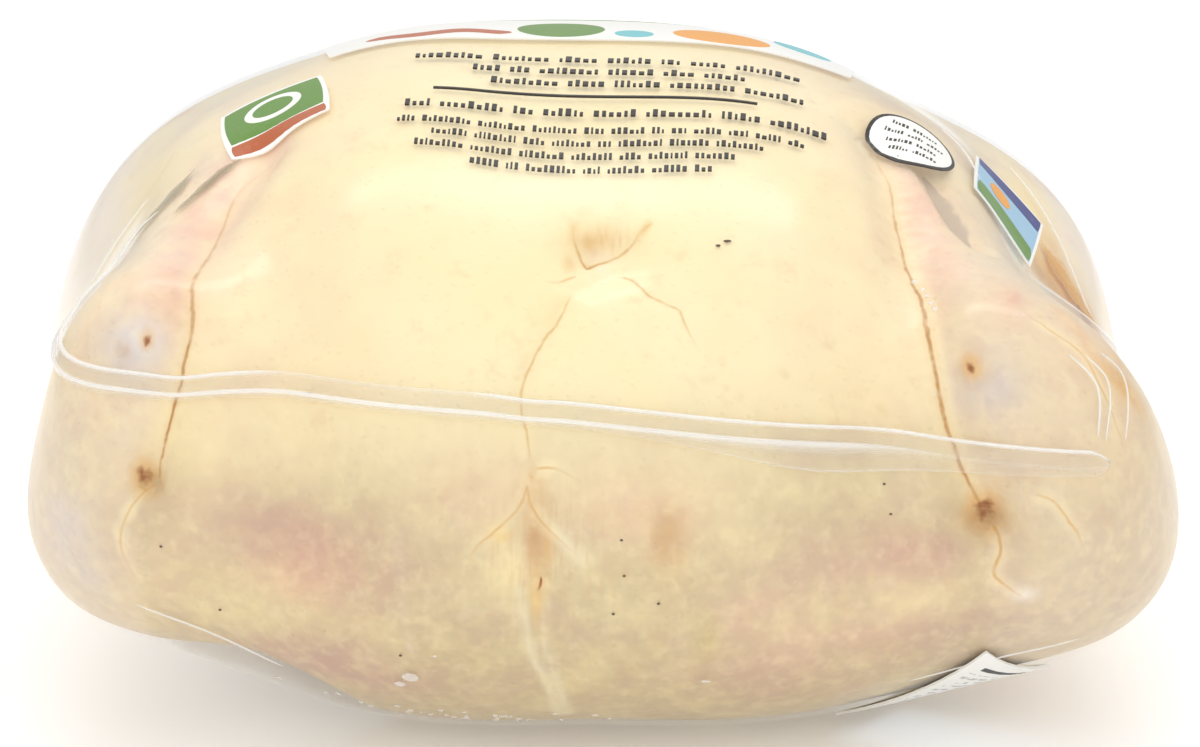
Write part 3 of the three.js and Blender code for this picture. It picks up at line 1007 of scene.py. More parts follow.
def with_creases(finish, base, wander):
    """Along each crease a pale rim of painted highlight, then a warm halo and a thin line that breaks up into
    beads, both partly the crease's colour and partly painted shade.
    """
    aside = finish.maths("ABSOLUTE", finish.maths("ADD", finish.attribute("crease_aside"), wander))
    beads = finish.ramp(finish.clouds(BEAD, 3, 0.6), 0.3, 0.6, 0.4, 1.0)
    strength = finish.maths("MULTIPLY", finish.attribute("crease_strength"), beads)
    warmth = finish.attribute("crease_warmth")
    rim = finish.maths("MULTIPLY", finish.ramp(aside, 0.4, 2.6, 0.4, 0.0), strength)
    base = finish.blend(rim, base, rgba(CREAM))
    warm_strength = finish.maths("MULTIPLY", strength, warmth)
    halo = finish.maths("MULTIPLY", finish.ramp(aside, 0.1, 1.5, 0.6, 0.0), warm_strength)
    base = finish.blend(halo, base, rgba(AMBER))
    line = finish.maths("MULTIPLY", finish.ramp(aside, 0.08, 0.42, 0.9, 0.0), strength)
    line = finish.maths("MULTIPLY", line, finish.maths("ADD", warmth, 0.5))
    return finish.blend(line, base, finish.blend(warmth, rgba(OCHRE), rgba(RUST)))


def with_dark_places(finish, base, wander):
    """Dark brown spots, and painted shade in the two pits under the wings, each with an amber edge; and the
    grey wedge of painted shade in the hollow.
    """
    spot = finish.maths("ADD", finish.attribute("spot_and_pit_shade_steps"), finish.maths("MULTIPLY", wander, 2.5))
    base = finish.blend(finish.ramp(spot, 0.6, 3.0, 0.65, 0.0), base, rgba(AMBER))
    base = finish.blend(finish.ramp(spot, 0.6, 1.5, 0.95, 0.0), base, rgba(RUST))
    # painted shade: the grey wedge in the hollow beside the right wing
    wedge = finish.maths("ADD", finish.attribute("hollow_steps"), finish.maths("MULTIPLY", wander, 1.2))
    return finish.blend(finish.ramp(wedge, 0.6, 1.0, 0.7, 0.0), base, rgba(SHADED))


print("follicles are", FOLLICLE, "mm apart")

# %% Skin material


def skin_finish():
    finish = Finish("raw_skin")
    wander = finish.ramp(finish.clouds(WANDER, 3), 0.25, 0.75, -0.14, 0.14)
    base = with_fat(finish, finish.attribute("flesh", "Color"))
    base = with_threads(finish, base)
    base = with_creases(finish, base, wander)
    base = with_dark_places(finish, base, wander)
    place = finish.add("TexCoord", out="Object")
    follicles = finish.add("TexVoronoi", {"Vector": place, "Scale": 1 / (FOLLICLE * MM)})
    pores = finish.ramp(follicles, 0.0, 0.32, 1.0, 0.0)
    base = finish.blend(finish.maths("MULTIPLY", pores, 0.05), base, rgba(TAN))
    bump = finish.add("Bump", {"Strength": 0.3, "Distance": 0.4 * MM, "Height": pores})
    return finish.done(finish.add("BsdfPrincipled", {
        "Base Color": base,
        "Roughness": 0.42,
        "IOR": 1.4,
        "Specular IOR Level": 0.35,
        "Subsurface Weight": 0.12,
        "Subsurface Radius": (4 * MM, 2.8 * MM, 1.8 * MM),
        "Subsurface Scale": 0.6,
        "Normal": bump,
    }, subsurface_method="BURLEY"))


skin_piece = add_piece("bird_skin", skin_mesh, skin_finish())
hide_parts("bagged_chicken")

# %% [markdown]
# ## The film
#
# The film is the same cube grid, wrapped on to the bag's form a hair outside the skin. Where it
# touches wet skin it all but vanishes. Where it spans a hollow it looks whiter, because there its
# two faces and the moisture on it reflect light, so each vertex keeps how milky the film is.
# Small ripples, where the film spans a hollow, are in the mesh itself. Glass that bends light
# would be slow and speckled in a shell this thin, so clear, milky and glossy shaders are mixed.
# Near the floor the film is made milkier still, partly a painted light that stands in for the pale floor seen
# through it.

# %% Wrap the film
FILM_CUTS = (118, 100, 70)
FILM_LIFT = 0.15
RIPPLE_SIZE = 9.0
RIPPLE_HEIGHT = 0.12
film_mesh = mesh_from(grid_cube(FILM_CUTS), "film_bag")
film = wrap(get_points(film_mesh), film_distance)
film_out = outward_at(film, film_distance)
film_gap = np.maximum(meat_distance(film), 0)
ripple = cloudy(film, RIPPLE_SIZE, seed=5, octaves=2) * RIPPLE_HEIGHT * soft_step(1.0, 5.0, film_gap)
film = film + film_out * (FILM_LIFT + ripple - drawn_in(film))[:, None]
film[:, 2] = np.maximum(film[:, 2], 0.0)
set_points(film_mesh, in_metres(film))
print("film vertices:", len(film), "widest gap:", round(float(film_gap.max()), 1), "mm")

# %% How milky the film is
CLEAR_HAZE = 0.01
HOLLOW_HAZE = 0.1
# near the floor the extra milkiness is partly painted light
FLOOR_HAZE_AND_PAINTED_LIGHT = 0.5
SHOULDER_HAZE = 0.14
film_x, film_y, film_z = film.T
bridging = soft_step(1.5, 8.0, film_gap)
near_floor = 1 - soft_step(20, 50, film_z)
shoulders = soft_step(94, 108, np.abs(film_x)) * soft_step(-20, 4, film_y) * soft_step(50, 70, film_z)
haze = CLEAR_HAZE + bridging * (HOLLOW_HAZE + FLOOR_HAZE_AND_PAINTED_LIGHT * near_floor) + SHOULDER_HAZE * shoulders
set_values(film_mesh, "haze", np.clip(haze, 0, 0.85))
print("haze from", round(float(haze.min()), 2), "to", round(float(haze.max()), 2))

# %% Film material


def film_finish(name, shine_roughness):
    """Clear film that is as milky as its mesh's haze attribute says."""
    finish = Finish(name)
    gloss = finish.add("BsdfGlossy", {"Color": (1, 1, 1, 1), "Roughness": shine_roughness})
    clear = finish.add("BsdfTransparent", {"Color": (0.99, 0.985, 0.975, 1)})
    white = (0.95, 0.945, 0.93, 1)
    lit_through = finish.add("BsdfTranslucent", {"Color": white})
    milky = finish.add("MixShader", [0.35, finish.add("BsdfDiffuse", {"Color": white}), lit_through])
    body = finish.add("MixShader", [finish.attribute("haze"), clear, milky])
    outside = finish.maths("SUBTRACT", 1.0, finish.add("NewGeometry", out="Backfacing"))
    shine = finish.maths("MULTIPLY", finish.add("Fresnel", {"IOR": 1.35}), outside)
    return finish.done(finish.add("MixShader", [shine, body, gloss]))


film_piece = add_piece("film_bag", film_mesh, film_finish("clear_film", 0.2))
film_piece.visible_shadow = False
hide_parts("bagged_chicken")

# %% [markdown]
# ## Welds
#
# A bag is closed by pressing its two layers between hot bars. The weld is a strip about four
# millimetres wide, milky, with a brighter bead along each edge where the plastic was squeezed
# out. It is made as a thin closed grid: each corner has a bearing round the bird and a place
# across the strip, and travels in level until it meets the film. A bevelled curve would be a
# round cord, and this is a flat ribbon that bends two ways. The neck weld slopes down to the
# right, and has a flap of loose film under it.
# The beads' milky white is partly the squeezed-out plastic and partly a painted highlight.

# %% Thin strips


def thin_strip(name, cuts, lay):
    """A thin closed grid. `lay` turns places along and across, from -1 to 1, and whether a corner
    is on top, into points in millimetres."""
    mesh = mesh_from(grid_cube((*cuts, 0)), name)
    flat = get_points(mesh)
    set_points(mesh, in_metres(lay(flat[:, 0], flat[:, 1], flat[:, 2] > 0)))
    face_outwards(mesh)
    return mesh, flat[:, 0], flat[:, 1]


def bead(across, middle, half_width):
    """1 in the middle, falling softly to 0 to both sides."""
    return np.exp(-(((across - middle) / half_width) ** 2))


print("a bead at its edge:", bead(1, 0, 1).round(2))

# %% Sizes and levels of the welds
WELD_HALF_WIDTH = 2.3
WELD_THICKNESS = 0.3
WELD_CUTS = (150, 26)
BEAD_HEIGHT = 0.5
BEAD_HALF_WIDTH = 0.12
SHINE_HALF_WIDTH = 0.14
CRINKLE_HEIGHT = 0.35
# in degrees about the upright axis: how soon an end is round, and how far the flap spreads
END_ROUNDS_IN = 1.4
FLAP_SPREAD = 14
NECK_WELD = (-66.0, 50.0)
TAIL_WELD = (142.0, 218.0)


def neck_level(bearing):
    """How high the neck weld is: it slopes down to the right and curls up at its left end."""
    curl = 5 * np.exp(-(((bearing - NECK_WELD[0]) / 7) ** 2))
    return 73 - 0.15 * bearing - 0.0015 * bearing**2 + curl


def tail_level(bearing):
    """How high the tail weld is: it hangs down a little at both ends."""
    return 66 - 5 * ((bearing - 180) / 38) ** 2


print("the neck weld falls from", neck_level(NECK_WELD[0]), "to", round(neck_level(NECK_WELD[1]), 1), "mm")

# %% A weld


def add_weld(name, axis_y, bearings, level, flap_at, flap_width, beads):
    """A weld between two bearings, given in degrees from the neck end about an upright axis.
    beads gives a list of middles across the strip and how bright each is at a bearing."""
    start, end = bearings

    def bearing_of(along):
        return start + (end - start) * (along + 1) / 2

    def lay(along, across, top):
        bearing = bearing_of(along)
        turn = np.radians(bearing)
        outward = np.stack([np.sin(turn), -np.cos(turn), 0 * turn], axis=1)
        from_end = np.minimum(bearing - start, end - bearing)
        rounding = np.sqrt(np.clip(from_end / END_ROUNDS_IN, 0.02, 1))
        flap = flap_width * bead(bearing, flap_at, FLAP_SPREAD) * soft_step(0.62, 1.0, -across)
        height = level(bearing) + across * WELD_HALF_WIDTH * rounding - flap
        axis = np.stack([0 * turn, 0 * turn + axis_y, height], axis=1)
        at = travel(axis + outward * REACH, -outward, film_distance)
        proud = sum(
            BEAD_HEIGHT * bright(bearing) * bead(across, middle, BEAD_HALF_WIDTH)
            for middle, bright in beads)
        crinkle = np.sin(bearing * 2.3) * np.sin(bearing * 0.9 + 1) * soft_step(0.5, 1.0, -across)
        thinning = 1 - 0.9 * across**6
        lift = 0.05 + top * (WELD_THICKNESS + proud) * thinning + CRINKLE_HEIGHT * crinkle * (flap > 0.3)
        return at + outward_at(at, film_distance) * (lift - drawn_in(at))[:, None]

    mesh, along, across = thin_strip(name, WELD_CUTS, lay)
    bearing = bearing_of(along)
    shine = sum(bright(bearing) * bead(across, middle, SHINE_HALF_WIDTH) for middle, bright in beads)
    flap_share = soft_step(0.62, 0.8, -across) * bead(bearing, flap_at, FLAP_SPREAD)
    # the beads' milk is partly a painted highlight
    milk = 0.1 * (1 - 0.4 * flap_share) + 0.9 * shine + 0.3 * soft_step(0.9, 1.0, -across) * flap_share
    set_values(mesh, "haze", np.clip(milk, 0, 0.92))
    return add_piece(name, mesh, film_finish(name, 0.16))


# %% The welds at the neck end and the tail end


def upper_bead(bearing):
    """How bright the neck weld's upper bead is: it fades for a stretch at the left."""
    return 1 - 0.85 * soft_step(-42, -37, bearing) * (1 - soft_step(-17, -10, bearing))


def lower_bead(bearing):
    """How bright the neck weld's lower bead is: it fades out to the right."""
    return 1 - 0.9 * soft_step(26, 40, bearing)


def even_bead(bearing):
    return np.ones_like(bearing)


neck_weld = add_weld(
    "neck_weld", -20, NECK_WELD, neck_level, 26, 4.0,
    [(0.82, upper_bead), (-0.55, lower_bead)])
tail_weld = add_weld(
    "tail_weld", 40, TAIL_WELD, tail_level, 180, 0.0,
    [(0.75, even_bead), (-0.75, even_bead)])
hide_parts("bagged_chicken")
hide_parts("bagged_chicken")

# %% [markdown]
# ## Folds in the film
#
# Where the film is pulled round a wing or a shoulder it gathers into hair-thin folds that catch
# the light. Each is a thin strip along a curve on the film. Its curve is projected on to the
# film, and the strip is laid to both sides of it. A bump in the film's material would vanish at
# a low angle, where real folds shine most. The roll at the weld's left end is a thicker one.
# Pointed strips under the film are painted shade: grey-olive wedges where the film spans deep
# hollows beside the left wing, and a tan fold of pressed skin whose colour is partly painted shade.

# %% Lines of the folds
FOLDS = [
    # line, half width, height
    ([(-112, -22, 67), (-104, -30, 79), (-98, -31, 88), (-90, -33, 98)], 0.3, 0.35),
    ([(-102, -80, 84), (-97, -70, 91), (-93, -50, 94), (-87, -48, 99)], 0.28, 0.3),
    ([(-104, -74, 83), (-100, -58, 87), (-96, -44, 90)], 0.22, 0.25),
    ([(69, -16, 109), (75, -20, 105), (79, -30, 101)], 0.35, 0.3),
    ([(85, 2, 98), (92, -6, 89), (97, -14, 80), (100, -22, 72)], 0.3, 0.3),
    ([(88, -92, 80), (92, -92, 73), (92, -97, 65)], 0.3, 0.3),
    ([(91, -90, 79), (94, -90, 73), (93, -96, 64)], 0.25, 0.25),
    ([(94, -87, 79), (97, -86, 73), (96, -93, 63)], 0.22, 0.25),
    ([(-90, -98, 30), (-76, -98, 24), (-62, -98, 17)], 0.3, 0.25),
    ([(60, -96, 14), (76, -94, 20), (92, -90, 26)], 0.25, 0.25),
    ([(-108, -72, 78), (-111, -60, 77), (-112, -46, 73)], 0.7, 0.9),
    ([(-105, -84, 77), (-109, -76, 81), (-112, -66, 80)], 0.6, 0.8),
]
# grey-olive wedges of painted shade, where the film spans deep hollows beside the left wing
SHADE_POCKETS = [
    # line, half width, height
    ([(-79, -38, 105), (-84, -43, 100), (-90, -46, 93), (-96, -48, 84)], 2.4, 0.1),
    ([(-70, -42, 110), (-75, -46, 107), (-80, -50, 103), (-84, -54, 99)], 1.8, 0.1),
]
# a tan fold of pressed skin at the right wing's edge, whose colour is partly painted shade
PRESSED_FOLDS_AND_SHADE = [
    # line, half width, height
    ([(90, -17, 87), (93, -18.5, 82), (96.8, -20.7, 76.3), (99.5, -22, 72.4), (103, -24, 66)], 4.2, 0.1),
]
UNDER_FILM = -0.35
print("folds:", len(FOLDS), "pockets:", len(SHADE_POCKETS), "pressed folds:", len(PRESSED_FOLDS_AND_SHADE))

# %% Strips along the lines


def tinted_finish(name, colour):
    """Something matt and coloured that is as dense as its mesh's haze attribute says."""
    finish = Finish(name)
    clear = finish.add("BsdfTransparent", {"Color": (1, 1, 1, 1)})
    matt = finish.add("BsdfDiffuse", {"Color": rgba(colour)})
    return finish.done(finish.add("MixShader", [finish.attribute("haze"), clear, matt]))


def add_folds(name, folds, milk, material, lift=0.15, pointed=False):
    """One piece of strips along lines on the film. A pointed one also fades out to its edges."""
    joined = bmesh.new()
    density = []
    for line, half_width, height in folds:
        curve = smooth_curve(line, 8)
        outward = outward_at(curve, film_distance)
        curve = on_film(curve, outward, lift)
        ahead = np.gradient(curve, axis=0)
        sideways = np.cross(ahead, outward)
        sideways /= np.linalg.norm(sideways, axis=1)[:, None]
        steps = np.linspace(-1, 1, len(curve))

        def lay(along, across, top):
            def sample(values):
                return np.stack([np.interp(along, steps, column) for column in values.T], axis=1)

            blunt = np.sqrt(np.clip(1 - along**4, 0.01, 1))
            taper = np.clip(1 - along**2, 0.02, 1) if pointed else blunt
            arch = top * height * (1 - 0.95 * across**2) * taper
            ragged = 1 + 0.35 * np.sin(8 * along + 2) * np.sin(3 * along) if pointed else 1
            side = across * half_width * taper * ragged
            return sample(curve) + sample(sideways) * side[:, None] + sample(outward) * arch[:, None]

        mesh, along, across = thin_strip(name, (3 * len(curve), 4), lay)
        fading = (1 - along**4) * (1 - across**2) if pointed else np.ones(len(along))
        density.append(milk * fading)
        joined.from_mesh(mesh)
        bpy.data.meshes.remove(mesh)
    mesh = mesh_from(joined, name)
    set_values(mesh, "haze", np.concatenate(density))
    piece = add_piece(name, mesh, material)
    piece.visible_shadow = not pointed
    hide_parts("bagged_chicken")
    return piece


# the folds' milky white is partly a painted glint
add_folds("film_folds", FOLDS, 0.7, film_finish("film_folds", 0.1))
add_folds("shade_pockets", SHADE_POCKETS, 0.6, tinted_finish("shade_pockets", OLIVE_SHADE), UNDER_FILM, True)
add_folds("pressed_skin_and_shade", PRESSED_FOLDS_AND_SHADE, 0.75, tinted_finish("pressed_skin_and_shade", AMBER), UNDER_FILM, True)

# %% [markdown]
# ## Drops, bubbles and specks
#
# Raw meat is wet, so under the film there is always a little juice: drops and small bubbles that
# gather along the bottom edge and in the wing's crease. A drop is an icosphere flattened on to
# the film. A few dark specks, the ends of pin feathers, sit in the skin, and make it look real.
# The drops' milky white is partly a painted highlight.

# %% Helper for small round things


def add_beads(name, places, material, lift):
    """Flattened balls on the film, each given as a centre and its radii along, across and out."""
    centres = np.array([centre for centre, _ in places], float)
    outward = outward_at(centres, film_distance)
    centres = on_film(centres, outward, lift)
    shape = bmesh.new()
    for centre, out, (_, radii) in zip(centres, outward, places):
        tilt = Vector(out).to_track_quat("Z", "Y").to_matrix().to_4x4()
        size = Matrix.Diagonal((*[radius * MM for radius in radii], 1))
        where = Matrix.Translation(Vector(in_metres(centre))) @ tilt @ size
        bmesh.ops.create_icosphere(shape, subdivisions=2, radius=1, matrix=where)
    piece = add_piece(name, mesh_from(shape, name), material)
    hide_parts("bagged_chicken")
    return piece


# %% Trapped juice
SMALL_DROPS = 34
DROPS = [
    # centre, radii along, across and out
    ((-36, -105, 21), (1.7, 1.3, 0.35)),
    ((-38, -103, 19), (1.2, 0.8, 0.3)),
    ((20, -106, 20), (1.0, 0.35, 0.25)),
    ((-31, -108, 27), (0.4, 0.3, 0.2)),
]
CREASE_BUBBLES = [(61, -75, 93.5), (62, -77, 92), (62.5, -79, 91), (63, -81, 90.2), (63.5, -83, 89.2)]
draw = random.Random(7)
for _ in range(SMALL_DROPS):
    drop_x = draw.gauss(-24, 16)
    size = draw.uniform(0.2, 0.5)
    place = (drop_x, -92 - draw.uniform(0, 5), draw.uniform(7, 12))
    DROPS.append((place, (size * 1.5, size * 0.7, 0.22)))
for place in CREASE_BUBBLES:
    size = draw.uniform(0.5, 0.9)
    DROPS.append((place, (size, size, 0.3)))

# the drops' milky white is partly a painted highlight
DROP_HAZE_AND_HIGHLIGHT = 0.45
juice_piece = add_beads("trapped_juice", DROPS, film_finish("juice_drops_and_highlight", 0.1), 0.1)
set_values(juice_piece.data, "haze", np.full(len(juice_piece.data.vertices), DROP_HAZE_AND_HIGHLIGHT))

# %% Pin-feather specks
SPECKS = [
    (-83, -106, 46), (-73, -102, 31), (-55, -102, 76), (-38, -109, 25), (4, -116, 51),
    (4.5, -116, 44), (11, -115, 38), (2.5, -115, 36), (54, -108, 60), (55, -109, 54),
]


def speck_finish():
    finish = Finish("pin_feathers")
    base = finish.blend(finish.clouds(1.0), rgba(tone(60, 48, 40)), rgba(tone(110, 84, 60)))
    return finish.done(finish.add("BsdfPrincipled", {"Base Color": base, "Roughness": 0.5}))


speck_places = [(place, (0.32, 0.22, 0.25)) for place in SPECKS]
speck_places += [((22.4, -85, 100.5), (0.5, 0.22, 0.3)), ((24.2, -84, 101.2), (0.8, 0.25, 0.3))]
add_beads("pin_feathers", speck_places, speck_finish(), -0.5)

# %% [markdown]
# ## Print
#
# A retail bag is printed before it is filled: a pale panel with bright fields on top, marks on
# the shoulders, and rows of small print over the breast. This is a plain design of discs, bands
# and blocks. Each drawing is made flat, in millimetres, and then pressed straight down on to the
# film, so that its shapes keep their size and follow every curve. As meshes of their own they
# have crisp edges at any distance, and need no picture and no flat map of the film.

# %% Inks and outlines
PRINT_LIFT = 0.24
PRINT_ROOT = -0.05
INK_STEP = 0.05
INKS = {
    "ink_white": (246, 245, 240),
    "ink_green": (98, 142, 52),
    "ink_clay": (186, 98, 56),
    "ink_sky": (158, 196, 222),
    "ink_blue": (66, 72, 132),
    "ink_teal": (112, 196, 204),
    "ink_sun": (240, 164, 60),
    "ink_dark": (46, 42, 40),
}


def disc(x, y, half_width, half_height):
    """Bends a square from -1 to 1 into a disc."""
    def outline(u, v):
        return x + half_width * u * math.sqrt(1 - v * v / 2), y + half_height * v * math.sqrt(1 - u * u / 2)

    return outline


def slab(x, y, half_width, half_height, rounding=0.14, wave=0.0):
    """Bends a square from -1 to 1 into a block with rounded sides, wavy where it is asked for."""
    def outline(u, v):
        ripple = wave * math.sin(u * 4)
        return (x + half_width * u * math.sqrt(1 - rounding * v * v),
                y + half_height * v * math.sqrt(1 - rounding * u * u) + ripple)

    return outline


print("inks:", ", ".join(INKS))

# %% A drawing


class Drawing:
    """Shapes drawn flat, in millimetres, that are pressed straight down on to the film."""

    FROM_ABOVE = 60

    def __init__(self, centre, turn=0.0):
        self.centre = np.array(centre, float)
        self.outward = outward_at(self.centre[None], film_distance)[0]
        level = np.cross(self.outward, [0.0, -1.0, 0.0])
        level /= np.linalg.norm(level)
        rise = np.cross(self.outward, level)
        turn = math.radians(turn)
        self.right = level * math.cos(turn) + rise * math.sin(turn)
        self.up = np.cross(self.outward, self.right)
        self.layers = {ink: bmesh.new() for ink in INKS}

    def add(self, ink, level, outline, cuts=(10, 10)):
        """Adds a shape in an ink. Levels lie on each other, and an outline bends the grid."""
        shape = grid_cube((*cuts, 0))
        for corner in shape.verts:
            lift = PRINT_LIFT + INK_STEP * level if corner.co.z > 0 else PRINT_ROOT
            corner.co = (*outline(corner.co.x, corner.co.y), lift)
        mesh = mesh_from(shape, "patch")
        self.layers[ink].from_mesh(mesh)
        bpy.data.meshes.remove(mesh)

    def row(self, y, height, start, end, seed):
        """A row of small plain blocks in groups, like a line of print seen from afar."""
        draw = random.Random(seed)
        x = start
        while x < end:
            for _ in range(draw.randint(3, 9)):
                half = height * draw.uniform(0.08, 0.2)
                drop = height * draw.choice((0, 0.1, 0.2))
                self.add("ink_dark", 2, slab(x + half, y - drop, half, height * 0.4 - drop, 0.0), (0, 0))
                x += 2 * half + height * 0.2
            x += height * 0.5

    def pressed(self, ink):
        """All shapes of one ink as a mesh that lies on the film."""
        mesh = mesh_from(self.layers[ink], ink)
        flat = get_points(mesh)
        above = self.centre + flat[:, :1] * self.right + flat[:, 1:2] * self.up
        inward = np.tile(-self.outward, (len(flat), 1))
        at = travel(above - inward * self.FROM_ABOVE, inward, film_distance)
        lift = flat[:, 2] - drawn_in(at)
        set_points(mesh, in_metres(at + outward_at(at, film_distance) * lift[:, None]))
        return mesh


print("each level of ink is", INK_STEP, "mm above the one below")

# %% The panel on top
panel = Drawing((-2, 32, 126))
panel.add("ink_white", 0, slab(0, 1, 56, 41, 0.1), (40, 28))
panel.add("ink_clay", 1, slab(-31, -33, 15, 2.2, 0.3, 1.2), (24, 3))
panel.add("ink_sun", 1, disc(27, -31, 10, 7))
panel.add("ink_green", 1, disc(-6, -30, 9, 8))
panel.add("ink_teal", 1, disc(9, -34, 4, 3.4))
panel.add("ink_teal", 1, disc(44, -22, 6, 6))
panel.add("ink_green", 1, disc(0, 4, 34, 15), (26, 16))
panel.add("ink_white", 2, disc(0, 4, 29, 11), (24, 14))
panel.add("ink_sun", 3, disc(-10, 4, 5, 5))
panel.add("ink_green", 3, slab(8, 4, 10, 2.4, 0.3), (10, 3))
panel.add("ink_clay", 1, slab(0, 33, 46, 3, 0.1, 1.0), (40, 3))
for step, level in enumerate((25.5, 22.0)):
    panel.row(level, 1.8, -34, 30 - 12 * step, 40 + step)
print("corners in the panel:", sum(len(layer.verts) for layer in panel.layers.values()))

# %% The marks on the shoulders and the rows between
left_mark = Drawing((-65, -33, 116), 4)
left_mark.add("ink_white", 0, slab(0, 0, 11.6, 11.2, 0.12))
left_mark.add("ink_green", 1, slab(0, 1.9, 10.6, 8.2, 0.1))
left_mark.add("ink_clay", 1, slab(0, -8.4, 10.4, 1.7, 0.05), (10, 2))
left_mark.add("ink_white", 2, disc(0, 2.4, 6.2, 5.4))
left_mark.add("ink_green", 3, disc(0, 2.4, 4.4, 3.6))

round_mark = Drawing((62, -33, 109), -4)
round_mark.add("ink_dark", 0, disc(0, 0, 9.6, 9.2))
round_mark.add("ink_white", 1, disc(0, 0, 8.8, 8.4))
for step, level in enumerate((4.6, 1.6, -1.4, -4.4)):
    round_mark.row(level, 1.5, -6.2 + abs(step - 1), 4.6 - abs(step - 1), 60 + step)

right_mark = Drawing((82, -23, 94), 0)
right_mark.add("ink_white", 0, slab(0, 0, 10.4, 12.4, 0.08), (12, 14))
right_mark.add("ink_sky", 1, slab(0, 0, 9.6, 11.6, 0.06), (12, 14))
right_mark.add("ink_blue", 2, slab(0, 8.9, 9.4, 2.5, 0.04), (12, 3))
right_mark.add("ink_green", 2, slab(0, -7.6, 9.4, 3.8, 0.12), (12, 5))
right_mark.add("ink_sun", 3, disc(-2.5, 1.5, 3.2, 3.2))

small_print = Drawing((0, -42, 121), -3)
ROWS = [
    # place, height, start, end
    (19.0, 3.2, -38, 36),
    (12.5, 3.0, -26, 22),
    (6.5, 3.0, -22, 30),
    (-6.0, 3.0, -38, 36),
    (-12.5, 2.2, -39, 38),
    (-16.8, 2.2, -32, 30),
    (-21.0, 2.2, -35, 26),
    (-25.2, 2.2, -24, 20),
]
for number, (level, height, start, end) in enumerate(ROWS):
    small_print.row(level, height, start, end, number)
small_print.add("ink_dark", 2, slab(-1, 0.6, 32, 0.3, 0.0), (30, 0))
print("rows of small print:", len(ROWS))

# %% Press the drawings on to the film


def ink_finish(name, colour):
    """Printing ink on film: even, a little glossy, and slightly thinner in places."""
    finish = Finish(name)
    thin = finish.ramp(finish.clouds(1.4, 3), 0.55, 0.8, 0.0, 0.16)
    base = finish.blend(thin, rgba(colour), rgba(0.6 * colour + 0.4 * CREAM))
    return finish.done(finish.add("BsdfPrincipled", {"Base Color": base, "Roughness": 0.32, "IOR": 1.45}))


for ink, colour in INKS.items():
    joined = bmesh.new()
    for drawing in (panel, left_mark, round_mark, right_mark, small_print):
        mesh = drawing.pressed(ink)
        joined.from_mesh(mesh)
        bpy.data.meshes.remove(mesh)
    bmesh.ops.recalc_face_normals(joined, faces=joined.faces)
    piece = add_piece(ink, mesh_from(joined, ink), ink_finish(ink, tone(*colour)), smooth=False)
    piece.visible_shadow = False
    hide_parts("bagged_chicken")

# %% [markdown]
# ## The paper label
#
# A white paper label is stuck under the bird, and its corner shows at the right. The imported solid
# already has its shape, so it only gets a material: paper with a faint fibre and thin grey bars.
# Texture coordinates are turned to lie along the label, and the bars come from repeating them,
# which is simpler than thirty small meshes that would hardly be seen.

# %% Paper material
LABEL_CENTRE = (67.0, -77.0, 0.0)
LABEL_TURN = math.radians(54)
BAR_PITCH = 2.1 * MM


def paper_finish():
    """White paper with rows of thin grey bars and one thick bar along the label."""
    finish = Finish("label_paper")
    middle = Matrix.Rotation(-LABEL_TURN, 3, "Z") @ Vector(in_metres(LABEL_CENTRE))
    place = finish.add("TexCoord", out="Object")
    local = finish.add("Mapping", {
        "Vector": place, "Location": tuple(-middle), "Rotation": (0, 0, -LABEL_TURN)})
    across = finish.add("SeparateXYZ", [local], out=0)
    along = finish.add("SeparateXYZ", [local], out=1)
    off_middle = finish.maths("ABSOLUTE", across)
    rows = finish.maths("FRACT", finish.maths("DIVIDE", along, BAR_PITCH))
    bars = finish.maths("LESS_THAN", rows, 0.4)
    high_enough = finish.maths("LESS_THAN", finish.maths("ABSOLUTE", along), 12 * MM)
    inside = finish.maths("MULTIPLY", finish.maths("LESS_THAN", off_middle, 9.5 * MM), high_enough)
    groups = finish.maths("GREATER_THAN", finish.clouds(2.0, 1), 0.47)
    thin_bars = finish.maths("MULTIPLY", finish.maths("MULTIPLY", bars, inside), groups)
    thick_bar = finish.maths("COMPARE", along, -14.0 * MM, 0.6 * MM)
    thick_bar = finish.maths("MULTIPLY", thick_bar, finish.maths("LESS_THAN", off_middle, 8 * MM))
    paper, grey, dark = rgba(tone(240, 240, 236)), rgba(tone(150, 152, 154)), rgba(tone(70, 72, 76))
    base = finish.blend(finish.maths("MULTIPLY", thin_bars, 0.6), paper, grey)
    base = finish.blend(thick_bar, base, dark)
    bump = finish.add("Bump", {"Strength": 0.2, "Distance": 0.1 * MM, "Height": finish.clouds(0.5, 4)})
    return finish.done(finish.add("BsdfPrincipled", {"Base Color": base, "Roughness": 0.6, "Normal": bump}))


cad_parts["underside_label"].material_slots[0].material = paper_finish()
print("the label has bars", round(BAR_PITCH / MM, 1), "mm apart")

# %% [markdown]
# ## Camera, floor and light
#
# The photo was taken from the neck end, a little above the bird, with a long lens, and in light
# that comes from all round, so that shadows are faint. A white sky, brightest overhead, and a
# faintly glowing floor give that light. One long narrow light above and behind the bird is what
# the film mirrors as a band of sheen, and a wide one in front lights the neck end evenly.

# %% Camera
CAMERA_RISE = math.radians(14)
CAMERA_AWAY = 1.0
LENS = 143.4
SENSOR_WIDTH = 36.0
AIM_AT = in_metres([0, 0, 54])


def add_camera():
    data = bpy.data.cameras.new("photo_view")
    data.lens, data.sensor_width = LENS, SENSOR_WIDTH
    camera = bpy.data.objects.new("photo_view", data)
    back = Vector((0, -math.cos(CAMERA_RISE), math.sin(CAMERA_RISE)))
    camera.location = Vector(AIM_AT) + back * CAMERA_AWAY
    camera.rotation_euler = (-back).to_track_quat("-Z", "Y").to_euler()
    bpy.context.scene.collection.objects.link(camera)
    bpy.context.scene.camera = camera


add_camera()
print("the camera looks at", AIM_AT.round(3), "from", CAMERA_AWAY, "m away")

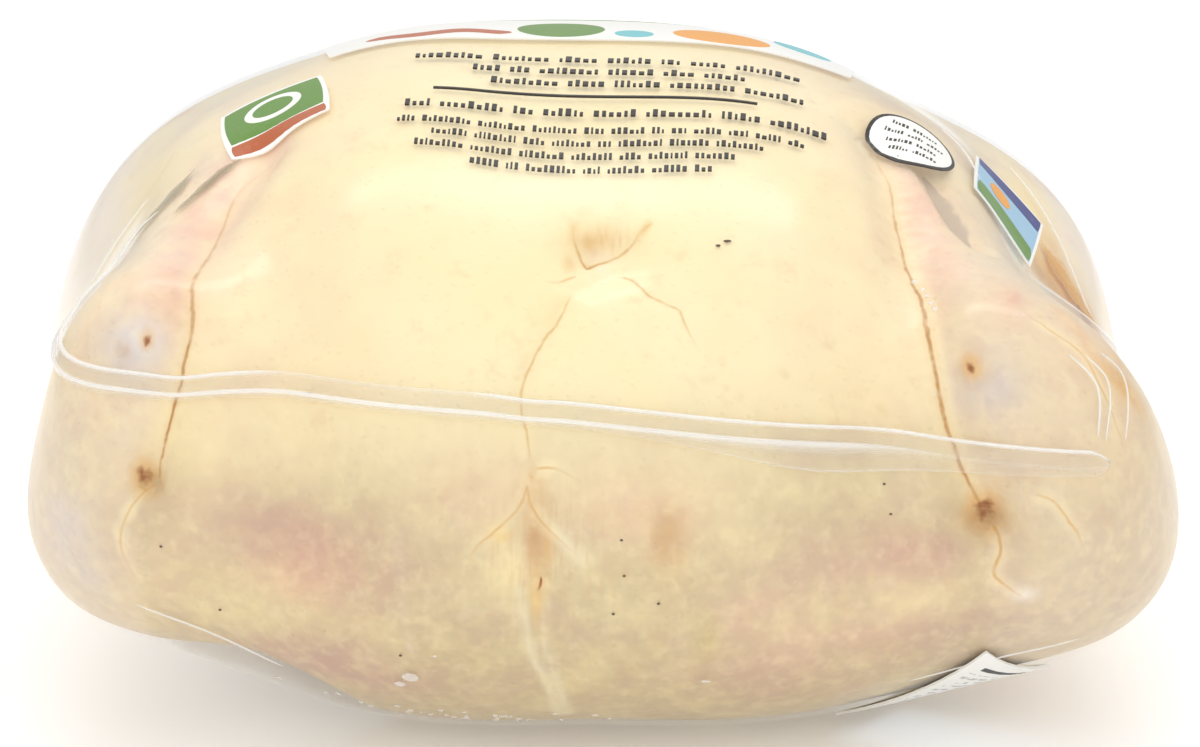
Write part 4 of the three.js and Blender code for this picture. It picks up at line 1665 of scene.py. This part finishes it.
# %% Floor and lights
FLOOR_GLOW = 0.2
FLOOR_DROP = 0.5 * MM
SKY_OVERHEAD = 1.15
SKY_LEVEL = 0.5
LIGHTS = [
    # name, place and aim in metres, size, watts
    ("sheen_strip", (0, 0.36, 1.3), (0, 0, 0.1), (1.2, 0.18), 2.6),
    ("front_fill", (0, -1.6, 0.6), (0, 0, 0.05), (2.0, 1.0), 3.0),
]


def add_floor():
    """A pale floor just under the bird, for the picture alone."""
    shape = bmesh.new()
    bmesh.ops.create_grid(shape, x_segments=1, y_segments=1, size=4)
    floor = bpy.data.objects.new("floor", mesh_from(shape, "floor"))
    floor.location.z = -FLOOR_DROP
    bpy.context.scene.collection.objects.link(floor)
    finish = Finish("pale_floor")
    matt = finish.add("BsdfDiffuse", {"Color": (0.92, 0.92, 0.92, 1)})
    glow = finish.add("Emission", {"Color": (1, 1, 1, 1), "Strength": FLOOR_GLOW})
    floor.data.materials.append(finish.done(finish.add("AddShader", [matt, glow])))


def add_light(name, place, aim, size, watts):
    data = bpy.data.lights.new(name, "AREA")
    data.shape, data.size, data.size_y, data.energy = "RECTANGLE", *size, watts
    light = bpy.data.objects.new(name, data)
    light.location = place
    light.rotation_euler = (Vector(aim) - Vector(place)).to_track_quat("-Z", "Y").to_euler()
    bpy.context.scene.collection.objects.link(light)


def add_sky():
    """A white sky that is brightest overhead and dims towards the horizon."""
    world = bpy.data.worlds.new("studio")
    world.use_nodes = True
    tree = world.node_tree
    height = tree.nodes.new("ShaderNodeSeparateXYZ")
    tree.links.new(tree.nodes.new("ShaderNodeTexCoord").outputs["Generated"], height.inputs[0])
    strength = tree.nodes.new("ShaderNodeMapRange")
    rises = {"From Min": 0.0, "From Max": 0.8, "To Min": SKY_LEVEL, "To Max": SKY_OVERHEAD}
    for key, value in rises.items():
        strength.inputs[key].default_value = value
    tree.links.new(height.outputs["Z"], strength.inputs["Value"])
    tree.links.new(strength.outputs[0], tree.nodes["Background"].inputs["Strength"])
    tree.nodes["Background"].inputs["Color"].default_value = (1, 1, 1, 1)
    bpy.context.scene.world = world


add_floor()
add_sky()
for light in LIGHTS:
    add_light(*light)
bpy.context.scene.view_settings.view_transform = "Standard"
print("lights:", len(LIGHTS))
